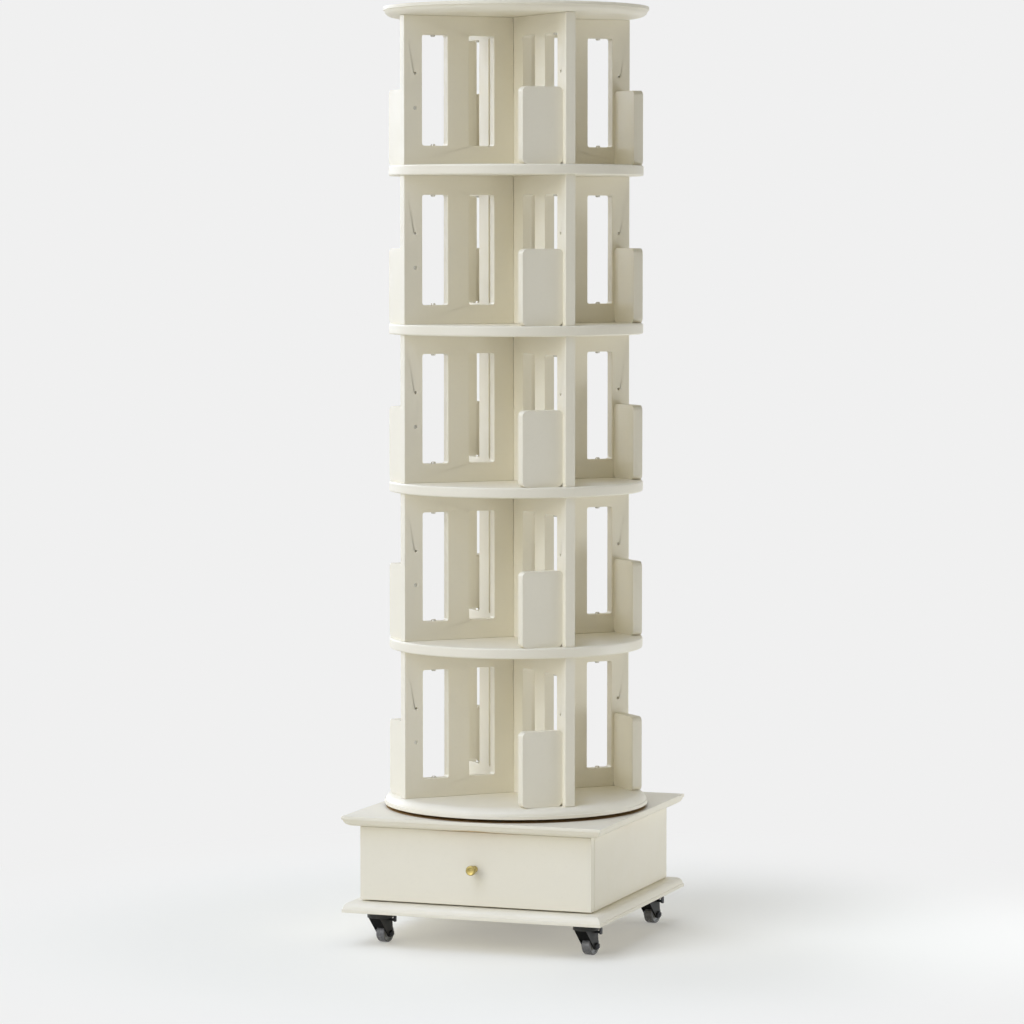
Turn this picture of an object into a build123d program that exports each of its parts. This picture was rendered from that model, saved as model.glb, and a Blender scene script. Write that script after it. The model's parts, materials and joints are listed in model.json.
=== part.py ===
from build123d import *
import os

# Five-tier revolving bookcase on a square drawer base with four braked swivel casters.
# Millimetres, +Z up.  The origin is the centre of the base on the floor, and the drawer opens
# towards -Y.  Left and right are as seen from the front; tiers and shelves count from the bottom.
# The tower turns about Z on a ball-bearing turntable and stands at rest with its cross boards
# pointing at the corners of the base.

# ---- Tower: five tiers between six round boards ------------------------------------------
tier_count = 5
tier_clear = 255.0          # height of a cross board, shelf to shelf
shelf_t = 18.0              # every round board
shelf_d = 442.0             # the shelves between tiers, with an eased edge
shelf_ease = 3.0            # round-over of both shelf edges
end_disc_reach = 9.0        # moulded top and bottom boards, beyond the shelves all round
tower_heading = 45.0        # direction of cross board "a" at rest, degrees from +X

# ---- Cross boards: two to a tier, half-lapped at the middle --------------------------------
board_inset = 5.0           # ends of the boards, in from the rim of the shelves
board_t = 18.0
board_ease = 2.0            # eased vertical edges of the board's ends
lap_clear = 0.4             # each side of the board that passes through a notch
window_w = 48.0             # tall round-cornered windows, two in each half
window_corner = 4.0
stile_w = 34.0              # solid wood between the outer windows and the ends
mid_stile_w = 40.0          # and between the two windows of a half
rail_h = 33.0               # solid wood over and under a window

# ---- Book stops: one plate across the end of each half board, in a pinwheel -----------------
stop_w = 75.0
stop_h = 130.0
stop_t = 18.0
stop_corner = 9.0
stop_ease = 2.8             # round-over of both faces
stop_inset = 12.0           # outer face of the stop, in from the end of its board
stop_screw_z = 97.0         # above the shelf
spare_hole_z = 156.0        # second fixing height, left open
spare_hole_d = 4.5
stop_screw_d = 5.0
stop_screw_head_d = 6.8
stop_screw_head_h = 2.5
stop_screw_sunk = 2.0       # head below the board's face
stop_screw_bite = 30.0      # length of thread in the book stop

# ---- Tie bolts: clamp each shelf between the rails above and below it -----------------------
tie_bolt_d = 5.0
tie_head_d = 8.5
tie_head_h = 3.0
tie_head_bevel = 0.9
tie_bite = 12.0             # thread in the top and bottom boards

# ---- Moulded edge: a square rim, a small quirk and a thumbnail curve ------------------------
rim_h = 6.0
quirk = 2.0
thumbnail_run = 18.0

# ---- Turntable: two flat rings and a row of balls -------------------------------------------
turntable_gap = 6.0         # air between the base and the tower
ring_recess = 2.5           # the lower ring lies in the base's top plate
recess_fit = 0.3
race_d = 268.0              # circle of the ball centres
ring_reach = 16.0           # width of either ring, from the race
ring_gap = 0.8              # between the two rings
ring_lift = 1.0             # each ring clears the board that it doesn't touch
ball_d = 5.0
ball_count = 16
ball_fit = 0.09
ring_screw_d = 3.5
ring_screw_head_d = 7.0
ring_screw_head_h = 2.0
ring_screw_bite = 12.0
ring_screws = 4

# ---- Drawer case: two moulded plates with a square case between them -------------------------
plate_side = 470.0
plate_reach = 25.0          # both plates, beyond the case all round
plate_t = 18.0
foot_thumbnail_run = 12.5   # the bottom plate's moulding is a little narrower
foot_quirk = 1.5
case_h = 131.0
case_t = 18.0
shadow_h = 2.5              # dark groove around the foot of the case
shadow_in = 3.0

# ---- Drawer -----------------------------------------------------------------------------------
front_t = 18.0
front_gap = 1.0             # seam between the drawer front and the case
front_head = 1.5            # seam under the top plate
drawer_behind = 24.0        # air between the drawer and the back of the case
drawer_board_t = 12.0
drawer_side_h = 95.0
drawer_floor = 10.0         # drawer sides above the bottom plate
bottom_t = 5.0
bottom_lift = 8.0           # groove for the bottom, above the drawer sides' lower edge
groove_in = 5.0
groove_fit = 0.3
drawer_screw_d = 4.0
drawer_screw_head_d = 7.0
drawer_screw_head_h = 1.5
drawer_screw_len = 35.0
cam_bolt_d = 6.0
cam_bolt_bite = 11.0
drawer_fixing_z = (25.0, 72.0)   # above the drawer sides' lower edge

# ---- Drawer slides: a channel on the case and a smaller one on the drawer, nested ------------
slide_space = 12.5          # between case and drawer, each side
slide_short = 10.0          # slides are this much shorter than the drawer
slide_h = 35.0
slide_sheet = 1.2
slide_reach = 9.0           # flange width of either channel
slide_fit = 0.3
slide_z = 56.0              # middle of the slide, above the bottom plate

# ---- Knob -------------------------------------------------------------------------------------
knob_foot_d = 12.0
knob_foot_h = 2.0
knob_neck_d = 8.0
knob_neck_h = 12.0
knob_head_d = 17.0
knob_head_h = 10.0
knob_round = 1.6
knob_screw_d = 4.0
knob_screw_bite = 9.0
knob_screw_head_d = 8.0
knob_screw_head_h = 2.2

# ---- Casters ----------------------------------------------------------------------------------
caster_h = 60.0
caster_inset = 47.0         # swivel axes, in from the sides of the plate
caster_setback = 63.0       # and in from its front and back
caster_heading = 76.0       # way the wheels trail at rest, degrees from +X
caster_trail = 14.0
pad_side = 50.0             # mounting pad under the base
pad_t = 2.0
pad_corner = 5.0
pad_hole_at = 19.5
pad_screw_d = 4.0
pad_screw_head_d = 7.5
pad_screw_head_h = 2.2
pad_screw_bite = 14.0
screw_fit = 0.1             # added to a screw's diameter for its hole
kingpin_d = 8.0
kingpin_head_d = 13.0
kingpin_head_h = 2.5
crown_d = 45.0              # pressed cup that turns under the pad
crown_h = 12.5
crown_wall = 2.5
crown_fit = 0.3             # over and under the crown
kingpin_fit = 0.08          # radial
leg_t = 2.5
leg_eye_r = 7.0
hood_rise = 11.0            # lower edge of the hood between the legs, over the axle
hood_run = 3.2              # its thickness, level
hood_slope = 0.82           # level run for each unit of fall
hood_lead = 2.5             # and how far it reaches up into the crown
wheel_d = 32.0
wheel_w = 17.0
wheel_side_clear = 1.0
wheel_round = 2.0
hub_d = 12.0
web_recess_d = 24.0
web_recess = 3.0
axle_d = 6.0
axle_fit = 0.05             # radial
hex_af = 10.0
axle_head_h = 3.5
axle_nut_h = 4.5
axle_tail = 1.2
brake_pin_d = 5.0
brake_pin_rise = 24.5       # brake pin over the axle
brake_pin_ahead = 1.0       # and ahead of it
brake_cam_r = 5.0
brake_cam_offset = 3.0
brake_cam_w = 15.0
brake_rivet_d = 7.5
brake_rivet_h = 1.2
brake_side_clear = 0.4
brake_tab_t = 2.5
brake_tab_w = 6.5
brake_tab_up = 8.5
brake_tab_down = 3.5

# ---- Sizes that follow ----------------------------------------------------------------------------
end_disc_d = shelf_d + 2 * end_disc_reach
board_len = shelf_d - 2 * board_inset
window_outer_at = board_len / 2 - stile_w - window_w / 2    # window centres, from the axis
window_inner_at = window_outer_at - window_w - mid_stile_w
ring_outer_d = race_d + 2 * ring_reach
ring_inner_d = race_d - 2 * ring_reach
case_side = plate_side - 2 * plate_reach
drawer_len = case_side - case_t - front_t - drawer_behind   # behind the front
slide_len = drawer_len - slide_short
caster_x = plate_side / 2 - caster_inset                    # swivel axes at +-x and +-y
caster_y = plate_side / 2 - caster_setback

# ---- Levels, from the floor up --------------------------------------------------------------------
foot_z = caster_h                                   # underside of the bottom plate
case_z = foot_z + plate_t
top_plate_z = case_z + case_h
base_top = top_plate_z + plate_t
tower_z = base_top + turntable_gap                  # underside of the bottom disc
tier_pitch = tier_clear + shelf_t
first_tier_z = tower_z + shelf_t
window_h = tier_clear - 2 * rail_h
stop_at = board_len / 2 - stop_inset - stop_t / 2   # middle of a book stop along its board
case_in = case_side / 2 - case_t                    # inner face of the case's sides
front_y = -case_side / 2
front_back_y = front_y + front_t
front_z = case_z + shadow_h
front_h = case_h - shadow_h - front_head
drawer_out = case_in - slide_space                  # outer face of the drawer's sides
drawer_z = case_z + drawer_floor
axle_z = wheel_d / 2


def tier_z(tier):
    """Top face of the board that carries this tier."""
    return first_tier_z + (tier - 1) * tier_pitch


def quarter_turns(shape):
    """Four copies of a shape, a quarter turn apart about Z."""
    return [Rot(0, 0, 90 * i) * shape for i in range(4)]


def upright(radius, low, high, x=0.0, y=0.0):
    """Vertical round bar between two heights."""
    return Pos(x, y, (low + high) / 2) * Cylinder(radius, high - low)


def bar_x(radius, low, high, y, z):
    """Round bar along X."""
    return Pos((low + high) / 2, y, z) * Rot(0, 90, 0) * Cylinder(radius, high - low)


def bar_y(radius, low, high, x, z):
    """Round bar along Y."""
    return Pos(x, (low + high) / 2, z) * Rot(90, 0, 0) * Cylinder(radius, high - low)


def block(x, y, z):
    """Box between (low, high) pairs on each axis."""
    size = [pair[1] - pair[0] for pair in (x, y, z)]
    middle = [(pair[1] + pair[0]) / 2 for pair in (x, y, z)]
    return Pos(*middle) * Box(*size)


def moulded_section(half, thick, run, step):
    """Half section of a board whose widest rim is on top: x outwards, y up from the underside."""
    shoulder = half - step
    curve = EllipticalCenterArc((shoulder - run, thick - rim_h), run, thick - rim_h, 270, arc_size=90)
    sides = Polyline((shoulder, thick - rim_h), (half, thick - rim_h), (half, thick), (0, thick),
                     (0, 0), (shoulder - run, 0))
    return make_face([curve, sides])


def upside_down(section, thick):
    """The same section with its rim at the bottom."""
    return Pos(0, thick, 0) * mirror(section, Plane.XZ)


# ---- Tower ------------------------------------------------------------------------------------
def bolt_holes(low, high):
    """Clearance holes for the four tie bolts, between two heights."""
    hole = upright((tie_bolt_d + screw_fit) / 2, low, high, x=window_outer_at)
    return [Rot(0, 0, tower_heading) * turned for turned in quarter_turns(hole)]


def end_disc(section, z, holes, screw_holes=()):
    """Round end board from its half section, with blind holes for the tie bolts."""
    disc = Pos(0, 0, z) * revolve(Plane.XZ * section, Axis.Z)
    return disc - [*holes, *screw_holes]


def shelf(z):
    """Round shelf between two tiers, eased on both edges."""
    disc = upright(shelf_d / 2, z, z + shelf_t)
    disc = fillet(disc.edges().filter_by(GeomType.CIRCLE), shelf_ease)
    return disc - bolt_holes(z, z + shelf_t)


def window(x):
    """Cutter for one window of a cross board."""
    outline = Plane.XZ * RectangleRounded(window_w, window_h, window_corner)
    return Pos(x, 0, tier_clear / 2) * extrude(outline, board_t, both=True)


def stop_holes():
    """Counterbored hole and spare hole of the half board that points along +X."""
    face = board_t / 2
    seat = face - stop_screw_sunk - stop_screw_head_h
    head = bar_y((stop_screw_head_d + screw_fit) / 2, seat, face + 1, stop_at, stop_screw_z)
    shank = bar_y((stop_screw_d + screw_fit) / 2, -face - 1, face, stop_at, stop_screw_z)
    spare = bar_y(spare_hole_d / 2, -face - 1, face + 1, stop_at, spare_hole_z)
    return [head, shank, spare]


def cross_board(notch_z):
    """Full-width board with four windows and a half-lap notch, standing on z = 0 along X."""
    board = Pos(0, 0, tier_clear / 2) * Box(board_len, board_t, tier_clear)
    board = fillet(board.edges().filter_by(Axis.Z), board_ease)
    windows = [window(side * at) for side in (-1, 1) for at in (window_inner_at, window_outer_at)]
    notch = Pos(0, 0, notch_z) * Box(board_t + 2 * lap_clear, 2 * board_t, tier_clear / 2)
    bolts = [upright((tie_bolt_d + screw_fit) / 2, -1, tier_clear + 1, x=side * window_outer_at)
             for side in (-1, 1)]
    holes = stop_holes() + [Rot(0, 0, 180) * hole for hole in stop_holes()]
    return board - [*windows, notch, *bolts, *holes]


def book_stop():
    """Book stop of the half board that points along +X, on its clockwise side."""
    middle = (-board_t / 2 - stop_w / 2, stop_h / 2)
    outline = Plane.YZ * Pos(*middle) * RectangleRounded(stop_w, stop_h, stop_corner)
    plate = Pos(stop_at, 0, 0) * extrude(outline, stop_t / 2, both=True)
    by_side = plate.faces().sort_by(Axis.X)
    plate = fillet(by_side[0].edges() + by_side[-1].edges(), stop_ease)
    end = -board_t / 2
    pilot = bar_y((stop_screw_d + screw_fit) / 2, end - stop_screw_bite - 1, end + 1, stop_at,
                  stop_screw_z)
    return plate - pilot


def stop_screw():
    """Screw that holds a book stop, from the far face of its board."""
    seat = board_t / 2 - stop_screw_sunk - stop_screw_head_h
    head = bar_y(stop_screw_head_d / 2, seat, seat + stop_screw_head_h, stop_at, stop_screw_z)
    end = -board_t / 2 - stop_screw_bite
    return head + bar_y(stop_screw_d / 2, end, seat, stop_at, stop_screw_z)


def bevelled(radius, low, high, bevel_low):
    """Short upright bar with one bevelled end, for bolt heads and nuts."""
    bar = upright(radius, low, high)
    circles = bar.edges().filter_by(GeomType.CIRCLE).sort_by(Axis.Z)
    return chamfer(circles[0] if bevel_low else circles[-1], tie_head_bevel)


def tie_bolt(length):
    """Bolt with its head under z = 0 and its shank rising from there."""
    return bevelled(tie_head_d / 2, -tie_head_h, 0, True) + upright(tie_bolt_d / 2, 0, length)


def tie_nut(z):
    """Round nut on top of the clamped stack."""
    nut = bevelled(tie_head_d / 2, z, z + tie_head_h, False)
    return nut - upright((tie_bolt_d + screw_fit) / 2, z - 1, z + tie_head_h + 1)


def tie_bolts():
    """Every bolt and nut of the tower: through each shelf, and into the two end boards."""
    grip = 2 * rail_h + shelf_t
    through = [tie_bolt(grip + tie_head_h), tie_nut(grip)]
    into_end = tie_bolt(rail_h + tie_bite)
    solids = [Pos(0, 0, tier_z(tier) + tier_clear - rail_h) * piece
              for tier in range(1, tier_count) for piece in through]
    solids.append(Pos(0, 0, tier_z(tier_count) + tier_clear - rail_h) * into_end)
    solids.append(Pos(0, 0, tier_z(1) + rail_h) * Rot(180, 0, 0) * into_end)
    spread = [Pos(window_outer_at, 0, 0) * solid for solid in solids]
    return [Rot(0, 0, tower_heading) * turned for solid in spread for turned in quarter_turns(solid)]


def tower():
    """Nodes of the revolving tower."""
    section = moulded_section(end_disc_d / 2, shelf_t, thumbnail_run, quirk)
    top_z = tier_z(tier_count) + tier_clear
    upper_screw_holes = [hole for hole in ring_screw_set(1, as_holes=True)]
    nodes = {
        "bottom_disc": end_disc(upside_down(section, shelf_t), tower_z,
                                bolt_holes(first_tier_z - tie_bite, first_tier_z + 1),
                                upper_screw_holes),
        "top_disc": end_disc(section, top_z, bolt_holes(top_z - 1, top_z + tie_bite)),
    }
    for number in range(1, tier_count):
        nodes[f"shelf_{number}"] = shelf(tier_z(number) + tier_clear)
    board_a = Rot(0, 0, tower_heading) * cross_board(tier_clear * 3 / 4)
    board_b = Rot(0, 0, tower_heading - 90) * cross_board(tier_clear / 4)
    stops = [Rot(0, 0, tower_heading) * stop for stop in quarter_turns(book_stop())]
    screws = [Rot(0, 0, tower_heading) * screw for screw in quarter_turns(stop_screw())]
    for tier in range(1, tier_count + 1):
        lift = Pos(0, 0, tier_z(tier))
        nodes[f"tier_{tier}_board_a"] = lift * board_a
        nodes[f"tier_{tier}_board_b"] = lift * board_b
        nodes[f"tier_{tier}_book_stops"] = [lift * stop for stop in stops]
    nodes["book_stop_screws"] = [Pos(0, 0, tier_z(tier)) * screw
                                 for tier in range(1, tier_count + 1) for screw in screws]
    nodes["tie_bolts"] = tie_bolts()
    return nodes


# ---- Turntable ----------------------------------------------------------------------------------
lower_ring_z = base_top - ring_recess
race_z = (lower_ring_z + tower_z) / 2
groove_r = ball_d / 2 + ball_fit


def ring(inner, outer, low, high):
    """Flat ring with its half of the ball groove."""
    blank = upright(outer, low, high) - upright(inner, low - 1, high + 1)
    groove = Plane.XZ * Pos(race_d / 2, race_z) * Circle(groove_r)
    return blank - revolve(groove, Axis.Z)


def ring_screw(up, as_hole):
    """Countersunk screw at x = 0, head at z = 0; up is 1 or -1, the way that its point faces."""
    grow = screw_fit / 2 if as_hole else 0.0
    depth = (tower_z - lower_ring_z - ring_lift) + ring_screw_bite + 2 * grow
    cone = Cone((ring_screw_head_d / 2) + grow, ring_screw_d / 2 + grow, ring_screw_head_h)
    screw = Pos(0, 0, ring_screw_head_h / 2) * cone
    screw += upright(ring_screw_d / 2 + grow, ring_screw_head_h / 2, depth)
    return screw if up > 0 else Rot(180, 0, 0) * screw


def ring_screw_set(up, as_holes=False):
    """Four screws of one ring: up 1 for the upper ring, -1 for the lower one."""
    inner_mid = (ring_inner_d / 2 + race_d / 2 - groove_r) / 2
    outer_mid = (ring_outer_d / 2 + race_d / 2 + groove_r) / 2
    at = inner_mid if up > 0 else outer_mid
    z = lower_ring_z + ring_lift if up > 0 else tower_z - ring_lift
    screw = Pos(at, 0, z) * ring_screw(up, as_holes)
    return [Rot(0, 0, 360 / ring_screws * i) * screw for i in range(ring_screws)]


def turntable():
    """Nodes of the ball-bearing turntable, as (base side, tower side)."""
    lower = ring(race_d / 2 + ring_gap / 2, ring_outer_d / 2, lower_ring_z, tower_z - ring_lift)
    upper = ring(ring_inner_d / 2, race_d / 2 - ring_gap / 2, lower_ring_z + ring_lift, tower_z)
    ball = Pos(race_d / 2, 0, race_z) * Sphere(ball_d / 2)
    base_side = {
        "turntable_lower_ring": lower - ring_screw_set(-1, as_holes=True),
        "turntable_balls": [Rot(0, 0, 360 / ball_count * i) * ball for i in range(ball_count)],
        "turntable_lower_screws": ring_screw_set(-1),
    }
    tower_side = {
        "turntable_upper_ring": upper - ring_screw_set(1, as_holes=True),
        "turntable_upper_screws": ring_screw_set(1),
    }
    return base_side, tower_side


# ---- Drawer case ------------------------------------------------------------------------------
def square_plate(section, z):
    """Square board with the same moulding mitred round its four sides."""
    whole = section + mirror(section, Plane.YZ)
    along_y = extrude(Plane.XZ * whole, plate_side / 2, both=True)
    return Pos(0, 0, z) * (along_y & Rot(0, 0, 90) * along_y)


def at_casters(shape):
    """A caster's shape at its four places."""
    return [Pos(x, y, 0) * shape for x in (-caster_x, caster_x) for y in (-caster_y, caster_y)]


def pad_screw(as_hole=False):
    """Pan-head screw of a caster pad, on the swivel axis."""
    grow = screw_fit / 2 if as_hole else 0.0
    under = foot_z - pad_t
    shank = upright(pad_screw_d / 2 + grow, under, foot_z + pad_screw_bite + grow)
    return shank if as_hole else shank + upright(pad_screw_head_d / 2, under - pad_screw_head_h, under)


def pad_screw_places(shape):
    """The four corners of a caster pad."""
    return [Pos(x, y, 0) * shape for x in (-pad_hole_at, pad_hole_at)
            for y in (-pad_hole_at, pad_hole_at)]


def shadow_groove():
    """Cutter for the dark groove round the foot of the case."""
    outer = case_side / 2 + 1
    inner = case_side / 2 - shadow_in
    level = (case_z - 1, case_z + shadow_h)
    return block((-outer, outer), (-outer, outer), level) - block((-inner, inner), (-outer - 1, inner),
                                                                  level)


def case():
    """Nodes of the base: plates, case boards and the case's half of the drawer slides."""
    half = case_side / 2
    level = (case_z, top_plate_z)
    front_edge = front_back_y + front_gap
    groove = shadow_groove()
    foot = upside_down(moulded_section(plate_side / 2, plate_t, foot_thumbnail_run, foot_quirk), plate_t)
    head = moulded_section(plate_side / 2, plate_t, thumbnail_run, quirk)
    recess = upright(ring_outer_d / 2 + recess_fit, lower_ring_z, base_top + 1)
    screw_holes = [hole for caster in at_casters(Compound(pad_screw_places(pad_screw(True))))
                   for hole in caster.solids()]
    return {
        "base_bottom_plate": square_plate(foot, foot_z) - screw_holes,
        "base_top_plate": square_plate(head, top_plate_z) - [recess,
                                                             *ring_screw_set(-1, as_holes=True)],
        "case_side_left": block((-half, -case_in), (front_edge, half), level) - groove,
        "case_side_right": block((case_in, half), (front_edge, half), level) - groove,
        "case_back": block((-case_in, case_in), (half - case_t, half), level) - groove,
    }


# ---- Drawer slides ------------------------------------------------------------------------------
def channel(height, reach, sheet):
    """Outline of a pressed channel, back at x = 0 and flanges towards -x, centred on y = 0."""
    blank = Pos(-reach / 2, 0) * Rectangle(reach, height)
    hollow = Pos(-reach / 2 - sheet, 0) * Rectangle(reach, height - 2 * sheet)
    return blank - hollow


def slide_pair(outline, back_x):
    """The right slide's channel and its mirror image on the left."""
    middle_y = front_back_y + front_gap + slide_len / 2
    right = Pos(back_x, middle_y, case_z + slide_z) * extrude(Plane.XZ * outline, slide_len / 2,
                                                              both=True)
    return [right, mirror(right, Plane.YZ)]


def case_slides():
    """Channels on the case's sides, open towards the drawer."""
    return slide_pair(channel(slide_h, slide_reach, slide_sheet), case_in)


def drawer_slides():
    """Channels on the drawer's sides, nested in the case's."""
    height = slide_h - 2 * slide_sheet - 2 * slide_fit
    return slide_pair(mirror(channel(height, slide_reach, slide_sheet), Plane.YZ), drawer_out)


# ---- Drawer ---------------------------------------------------------------------------------------
drawer_end_y = front_back_y + drawer_len
drawer_in = drawer_out - drawer_board_t
bottom_z = drawer_z + bottom_lift
bottom_half = drawer_in + groove_in - groove_fit
back_y = (drawer_end_y - drawer_board_t, drawer_end_y)


def drawer_fixings(as_holes):
    """Screws through the sides into the back, and cam bolts from the front into the sides."""
    grow = screw_fit / 2 if as_holes else 0.0
    screw_y = drawer_end_y - drawer_board_t / 2
    side_x = drawer_out - drawer_board_t / 2
    solids = []
    for rise in drawer_fixing_z:
        z = drawer_z + rise
        shank = bar_x(drawer_screw_d / 2 + grow, drawer_out - drawer_screw_len - grow, drawer_out,
                      screw_y, z)
        head = bar_x(drawer_screw_head_d / 2 + grow, drawer_out - drawer_screw_head_h, drawer_out,
                     screw_y, z)
        cam = bar_y(cam_bolt_d / 2 + grow, front_back_y - cam_bolt_bite - grow,
                    front_back_y + drawer_screw_len - cam_bolt_bite + grow, side_x, z)
        for solid in (shank + head, cam):
            solids += [solid, mirror(solid, Plane.YZ)]
    return solids


def knob():
    """Turned knob on the drawer front."""
    z = front_z + front_h / 2
    outline = Polyline((0, 0), (knob_foot_d / 2, 0), (knob_foot_d / 2, knob_foot_h),
                       (knob_neck_d / 2, knob_foot_h + 1), (knob_neck_d / 2, knob_neck_h),
                       (knob_head_d / 2, knob_neck_h + 2), (knob_head_d / 2, knob_neck_h + knob_head_h),
                       (0, knob_neck_h + knob_head_h), (0, 0))
    turned = revolve(Plane.XZ * make_face(outline), Axis.Z)
    turned = fillet(turned.edges().filter_by(GeomType.CIRCLE).group_by(Axis.Z)[-1], knob_round)
    turned -= upright((knob_screw_d + screw_fit) / 2, -1, knob_screw_bite + screw_fit)
    return Pos(0, front_y, z) * Rot(90, 0, 0) * turned


def knob_screw(as_hole=False):
    """Screw that holds the knob, from inside the drawer."""
    grow = screw_fit / 2 if as_hole else 0.0
    z = front_z + front_h / 2
    shank = bar_y(knob_screw_d / 2 + grow, front_y - knob_screw_bite, front_back_y, 0, z)
    head = bar_y(knob_screw_head_d / 2, front_back_y, front_back_y + knob_screw_head_h, 0, z)
    return shank if as_hole else shank + head


def drawer():
    """Nodes of the drawer."""
    half = case_side / 2
    side_z = (drawer_z, drawer_z + drawer_side_h)
    groove = block((-bottom_half - groove_fit, bottom_half + groove_fit),
                   (front_back_y - groove_in, drawer_end_y + 1), (bottom_z, bottom_z + bottom_t))
    holes = drawer_fixings(as_holes=True)
    side = block((drawer_in, drawer_out), (front_back_y, drawer_end_y), side_z) - [groove, *holes]
    front = block((-half, half), (front_y, front_back_y), (front_z, front_z + front_h))
    back = block((-drawer_in, drawer_in), back_y, (bottom_z + bottom_t, drawer_z + drawer_side_h))
    bottom = block((-bottom_half, bottom_half), (front_back_y - groove_in + groove_fit, drawer_end_y),
                   (bottom_z, bottom_z + bottom_t))
    return {
        "drawer_front": front - [groove, *holes, knob_screw(as_hole=True)],
        "drawer_side_left": mirror(side, Plane.YZ),
        "drawer_side_right": side,
        "drawer_back": back - holes,
        "drawer_bottom": bottom,
        "drawer_knob": knob(),
        "drawer_slides": drawer_slides(),
        "drawer_screws": [*drawer_fixings(as_holes=False), knob_screw()],
    }


# ---- Casters, modelled on the swivel axis with the trail along +X and the axle along Y -------------
pad_under = foot_z - pad_t
crown_top = pad_under - crown_fit
crown_under = crown_top - crown_h
crown_ceiling = crown_top - crown_wall
leg_in = wheel_w / 2 + wheel_side_clear
leg_out = leg_in + leg_t
leg_reach = ((crown_d / 2) ** 2 - leg_out ** 2) ** 0.5 - 0.5   # half width of a leg at its root
brake_x = caster_trail - brake_pin_ahead
brake_z = axle_z + brake_pin_rise


def caster_pad():
    """Mounting pad with its riveted kingpin, which holds the crown."""
    pad = Pos(0, 0, pad_under) * extrude(RectangleRounded(pad_side, pad_side, pad_corner), pad_t)
    head_top = crown_ceiling - crown_fit
    pin = upright(kingpin_d / 2, head_top - kingpin_head_h / 2, pad_under + pad_t / 2)
    head = upright(kingpin_head_d / 2, head_top - kingpin_head_h, head_top)
    hole = upright((pad_screw_d + screw_fit) / 2, pad_under - 1, foot_z + 1)
    return pad + pin + head - pad_screw_places(hole)


def fork_leg(side):
    """One tapered leg: the hull of its root under the crown and the eye round the axle."""
    root_line = Line((-leg_reach, crown_ceiling), (leg_reach, crown_ceiling))
    low_line = Line((-leg_reach, crown_under), (leg_reach, crown_under))
    eye = Pos(caster_trail, axle_z) * CenterArc((0, 0), leg_eye_r, 0, 360)
    outline = Plane.XZ * make_hull([*root_line.edges(), *low_line.edges(), *eye.edges()])
    middle = side * (leg_in + leg_out) / 2
    return Pos(0, middle, 0) * extrude(outline, leg_t / 2, both=True)


def fork_hood():
    """Sloping web that joins the leading edges of the legs, in front of the wheel."""
    fall = crown_under - axle_z - hood_rise
    top = (-leg_reach - hood_lead * hood_slope, crown_under + hood_lead)
    toe = (-leg_reach + fall * hood_slope, crown_under - fall)
    outline = Plane.XZ * make_face(Polyline(top, toe, (toe[0] + hood_run, toe[1]),
                                            (top[0] + hood_run, top[1]), close=True))
    web = extrude(outline, leg_in + leg_t / 2, both=True)
    return web & upright(crown_d / 2, 0, crown_ceiling)


def caster_fork():
    """Pressed fork: a cupped crown, two legs and the hood between them."""
    crown = upright(crown_d / 2, crown_under, crown_top)
    crown = fillet(crown.edges().filter_by(GeomType.CIRCLE).sort_by(Axis.Z)[-1], crown_wall / 2)
    crown -= upright(crown_d / 2 - crown_wall, crown_under - 1, crown_ceiling)
    fork = crown + fork_leg(-1) + fork_leg(1) + fork_hood()
    kingpin = upright(kingpin_d / 2 + kingpin_fit, crown_under - 1, crown_top + 1)
    eye = bar_y(axle_d / 2 + axle_fit, -leg_out - 1, leg_out + 1, caster_trail, axle_z)
    brake_eye = bar_y(brake_pin_d / 2 + axle_fit, -leg_out - 1, leg_out + 1, brake_x, brake_z)
    return fork - [kingpin, eye, brake_eye]


def caster_wheel():
    """Moulded wheel with a dished web on both sides."""
    half = wheel_w / 2
    wheel = Cylinder(wheel_d / 2, wheel_w)
    wheel = fillet(wheel.edges().filter_by(GeomType.CIRCLE), wheel_round)
    dish = Cylinder(web_recess_d / 2, web_recess) - Cylinder(hub_d / 2, web_recess)
    dishes = [Pos(0, 0, side * (half - web_recess / 2)) * dish for side in (-1, 1)]
    bore = Cylinder(axle_d / 2 + axle_fit, wheel_w + 2)
    return Pos(caster_trail, 0, axle_z) * Rot(90, 0, 0) * (wheel - [*dishes, bore])


def caster_axle():
    """Hexagon bolt through the legs, and its nut."""
    hexagon = Plane.XZ * RegularPolygon(hex_af / 2, 6, major_radius=False)
    shank = bar_y(axle_d / 2, -leg_out - axle_nut_h - axle_tail, leg_out, 0, 0)
    head = Pos(0, leg_out + axle_head_h / 2, 0) * extrude(hexagon, axle_head_h / 2, both=True)
    nut = Pos(0, -leg_out - axle_nut_h / 2, 0) * extrude(hexagon, axle_nut_h / 2, both=True)
    nut -= bar_y(axle_d / 2 + axle_fit, -leg_out - axle_nut_h - 1, -leg_out + 1, 0, 0)
    place = Pos(caster_trail, 0, axle_z)
    return [place * (head + shank), place * nut]


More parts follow.
